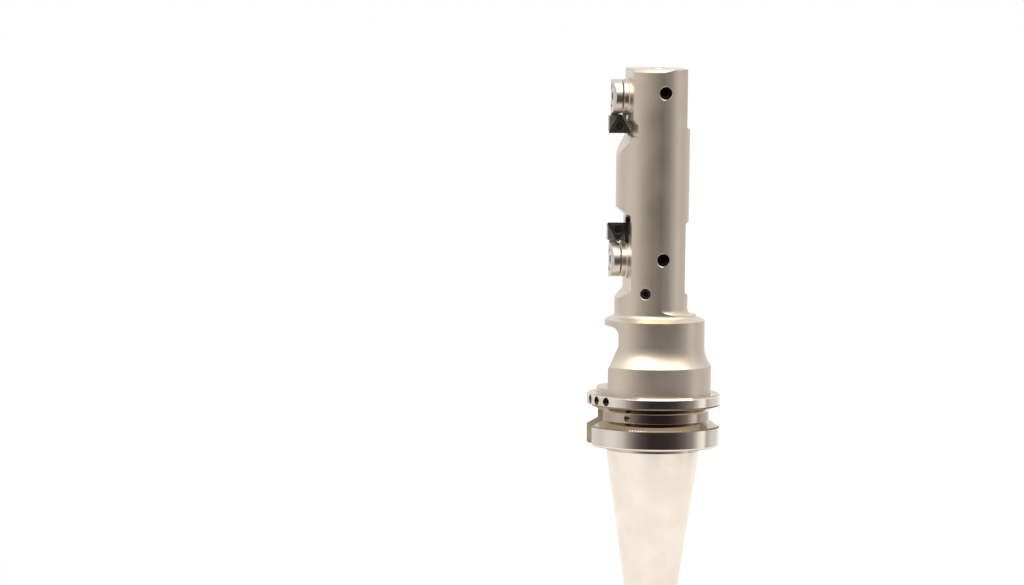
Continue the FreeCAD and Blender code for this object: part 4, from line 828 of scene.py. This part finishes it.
class BORINGBAR_OT_stage(bpy.types.Operator):
    """Set the pale floor, the soft lamps and the camera."""

    bl_idname = "boringbar.stage"
    bl_label = "Set Stage"

    def execute(self, context):
        stage = stage_settings()
        scene = bpy.context.scene
        scene.view_settings.view_transform = "Standard"
        self.floor(stage)
        self.world(stage)
        self.lamps(stage)
        self.camera(stage, scene)
        return {"FINISHED"}

    def floor(self, stage):
        """A white board under the tool that widens away from the camera, as its view does."""
        across = Vector((math.cos(stage.azimuth), math.sin(stage.azimuth), 0.0))
        away = Vector((-math.sin(stage.azimuth), math.cos(stage.azimuth), 0.0))
        spread = stage.floor_spread * (stage.floor_front + stage.floor_back)
        corners = [across * x + away * y for x, y in (
            (-stage.floor_left, -stage.floor_front), (stage.floor_right, -stage.floor_front),
            (stage.floor_right + spread, stage.floor_back),
            (-stage.floor_left - spread, stage.floor_back))]
        mesh = bpy.data.meshes.new("floor")
        mesh.from_pydata(corners, [], [(0, 1, 2, 3)])
        floor = bpy.data.objects.new("floor", mesh)
        bpy.context.scene.collection.objects.link(floor)
        # Matt painted board: it looks nearly white, with the tool's soft shadow, to the camera
        # and in the metal
        material, tree = new_tree("matt white board")
        rays = add(tree, "ShaderNodeLightPath").outputs
        mirrored = add(tree, "ShaderNodeMath", {
            0: rays["Is Glossy Ray"], 1: rays["Is Transmission Ray"]}, operation="ADD").outputs[0]
        seen = add(tree, "ShaderNodeMath", {0: rays["Is Camera Ray"], 1: mirrored},
                   operation="ADD", use_clamp=True).outputs[0]
        tone = add(tree, "ShaderNodeMix", {
            0: seen, 6: (*stage.floor_colour, 1.0),
            7: (*(c * stage.floor_shade for c in stage.floor_colour), 1.0)},
            data_type="RGBA").outputs[2]
        matt = add(tree, "ShaderNodeBsdfDiffuse", {"Color": tone}).outputs[0]
        strength = add(tree, "ShaderNodeMath", {0: seen, 1: stage.floor_white},
                       operation="MULTIPLY").outputs[0]
        glow = add(tree, "ShaderNodeEmission", {
            "Color": (*stage.backdrop, 1.0), "Strength": strength}).outputs[0]
        both = add(tree, "ShaderNodeAddShader", {0: matt, 1: glow}).outputs[0]
        add(tree, "ShaderNodeOutputMaterial", {"Surface": both})
        assign(floor, material)

    def world(self, stage):
        """A plain room: white ceiling, white walls behind and beside, dark beyond the camera."""
        world = bpy.data.worlds.new("studio")
        bpy.context.scene.world = world
        world.use_nodes = True
        tree = world.node_tree
        tree.nodes.clear()
        facing = add(tree, "ShaderNodeTexCoord").outputs["Generated"]
        parts = add(tree, "ShaderNodeSeparateXYZ", {"Vector": facing})
        ahead = add(tree, "ShaderNodeMath", {0: parts.outputs["Y"], 1: -1.0},
                    operation="MULTIPLY").outputs[0]
        azimuth = add(tree, "ShaderNodeMath", {0: parts.outputs["X"], 1: ahead},
                      operation="ARCTAN2").outputs[0]
        share = add(tree, "ShaderNodeMapRange", {
            "Value": azimuth, "From Min": -math.pi, "From Max": math.pi}).outputs["Result"]
        walls = add(tree, "ShaderNodeValToRGB", {0: share})
        self.fill(walls, [(degrees / 360 + 0.5, light) for degrees, light in ROOM],
                  warmth=1.05)
        # Z of the direction is the sine of the elevation
        ceiling = add(tree, "ShaderNodeValToRGB", {0: parts.outputs["Z"]})
        self.fill(ceiling, [(math.sin(math.radians(rise)), light) for rise, light in RISE])
        tone = add(tree, "ShaderNodeMix", {
            0: ceiling.outputs["Color"], 6: walls.outputs["Color"],
            7: (*stage.backdrop, 1.0)}, data_type="RGBA").outputs[2]
        glow = add(tree, "ShaderNodeBackground", {"Color": tone, "Strength": 1.0}).outputs[0]
        add(tree, "ShaderNodeOutputWorld", {"Surface": glow})

    def fill(self, ramp, levels, warmth=1.0):
        """Set the stops of a ramp from places and levels, in rising order.

        Green and blue are light ** warmth, so a warmth above 1 tints the dark stops."""
        stops = ramp.color_ramp.elements
        for place, _ in levels[1:-1]:
            stops.new(place)
        for stop, (place, light) in zip(stops, levels):
            stop.position = place
            stop.color = (light, light ** warmth, light ** warmth, 1.0)

    def lamps(self, stage):
        """A large soft lamp above the front, and a near one that lights the nose from the left."""
        powers = (stage.top_power, stage.side_power)
        for (name, place, size), power in zip(LAMPS, powers):
            lamp = bpy.data.lights.new(name, "AREA")
            lamp.shape = "RECTANGLE"
            lamp.size, lamp.size_y = size
            lamp.color = stage.lamp_colour
            lamp.energy = power
            holder = bpy.data.objects.new(name, lamp)
            bpy.context.scene.collection.objects.link(holder)
            holder.location = place
            away = Vector((0.0, 0.0, stage.aim_height)) - holder.location
            holder.rotation_euler = away.to_track_quat("-Z", "Y").to_euler()

    def camera(self, stage, scene):
        """A long lens well away, turned a little aside, up and about its view."""
        data = bpy.data.cameras.new("camera")
        data.lens = stage.lens
        data.sensor_width = SENSOR_WIDTH
        data.clip_end = 50.0
        camera = bpy.data.objects.new("camera", data)
        scene.collection.objects.link(camera)
        back = Vector((
            math.sin(stage.azimuth) * math.cos(stage.elevation),
            -math.cos(stage.azimuth) * math.cos(stage.elevation),
            math.sin(stage.elevation),
        ))
        ahead = -back
        right = ahead.cross(Vector((0.0, 0.0, 1.0))).normalized()
        up = right.cross(ahead)
        ahead = (ahead + right * math.tan(stage.pan) + up * math.tan(stage.tilt)).normalized()
        right = ahead.cross(up).normalized()
        up = right.cross(ahead)
        turned = right * math.cos(stage.roll) + up * math.sin(stage.roll)
        top = turned.cross(ahead)
        camera.location = Vector((0.0, 0.0, stage.aim_height)) + back * stage.distance
        basis = Matrix((turned, top, -ahead)).transposed()
        camera.rotation_euler = basis.to_euler()
        scene.camera = camera


class VIEW3D_PT_boring_bar(bpy.types.Panel):
    """Buttons that dress the tool, and their settings."""

    bl_label = "Boring Bar"
    bl_space_type = "VIEW_3D"
    bl_region_type = "UI"
    bl_category = "Boring Bar"

    def draw(self, context):
        for settings in (finish_settings(), detail_settings(), stage_settings()):
            box = self.layout.box()
            for name in settings.__annotations__:
                box.prop(settings, name)
        for operator in OPERATORS:
            self.layout.operator(operator.bl_idname)


OPERATORS = (
    BORINGBAR_OT_finish,
    BORINGBAR_OT_inserts,
    BORINGBAR_OT_graduations,
    BORINGBAR_OT_threads,
    BORINGBAR_OT_rims,
    BORINGBAR_OT_stage,
)
GROUPS = {
    "boring_bar_finish": BoringBarFinish,
    "boring_bar_detail": BoringBarDetail,
    "boring_bar_stage": BoringBarStage,
}


def register():
    for group in GROUPS.values():
        bpy.utils.register_class(group)
    for name, group in GROUPS.items():
        setattr(bpy.types.Scene, name, PointerProperty(type=group))
    for operator in OPERATORS:
        bpy.utils.register_class(operator)
    bpy.utils.register_class(VIEW3D_PT_boring_bar)


def unregister():
    bpy.utils.unregister_class(VIEW3D_PT_boring_bar)
    for operator in reversed(OPERATORS):
        bpy.utils.unregister_class(operator)
    for name, group in GROUPS.items():
        delattr(bpy.types.Scene, name)
        bpy.utils.unregister_class(group)


def main():
    register()
    bpy.ops.boringbar.finish()
    bpy.ops.boringbar.inserts()
    bpy.ops.boringbar.graduations()
    bpy.ops.boringbar.threads()
    bpy.ops.boringbar.rims()
    bpy.ops.boringbar.stage()


if __name__ == "__main__":
    main()
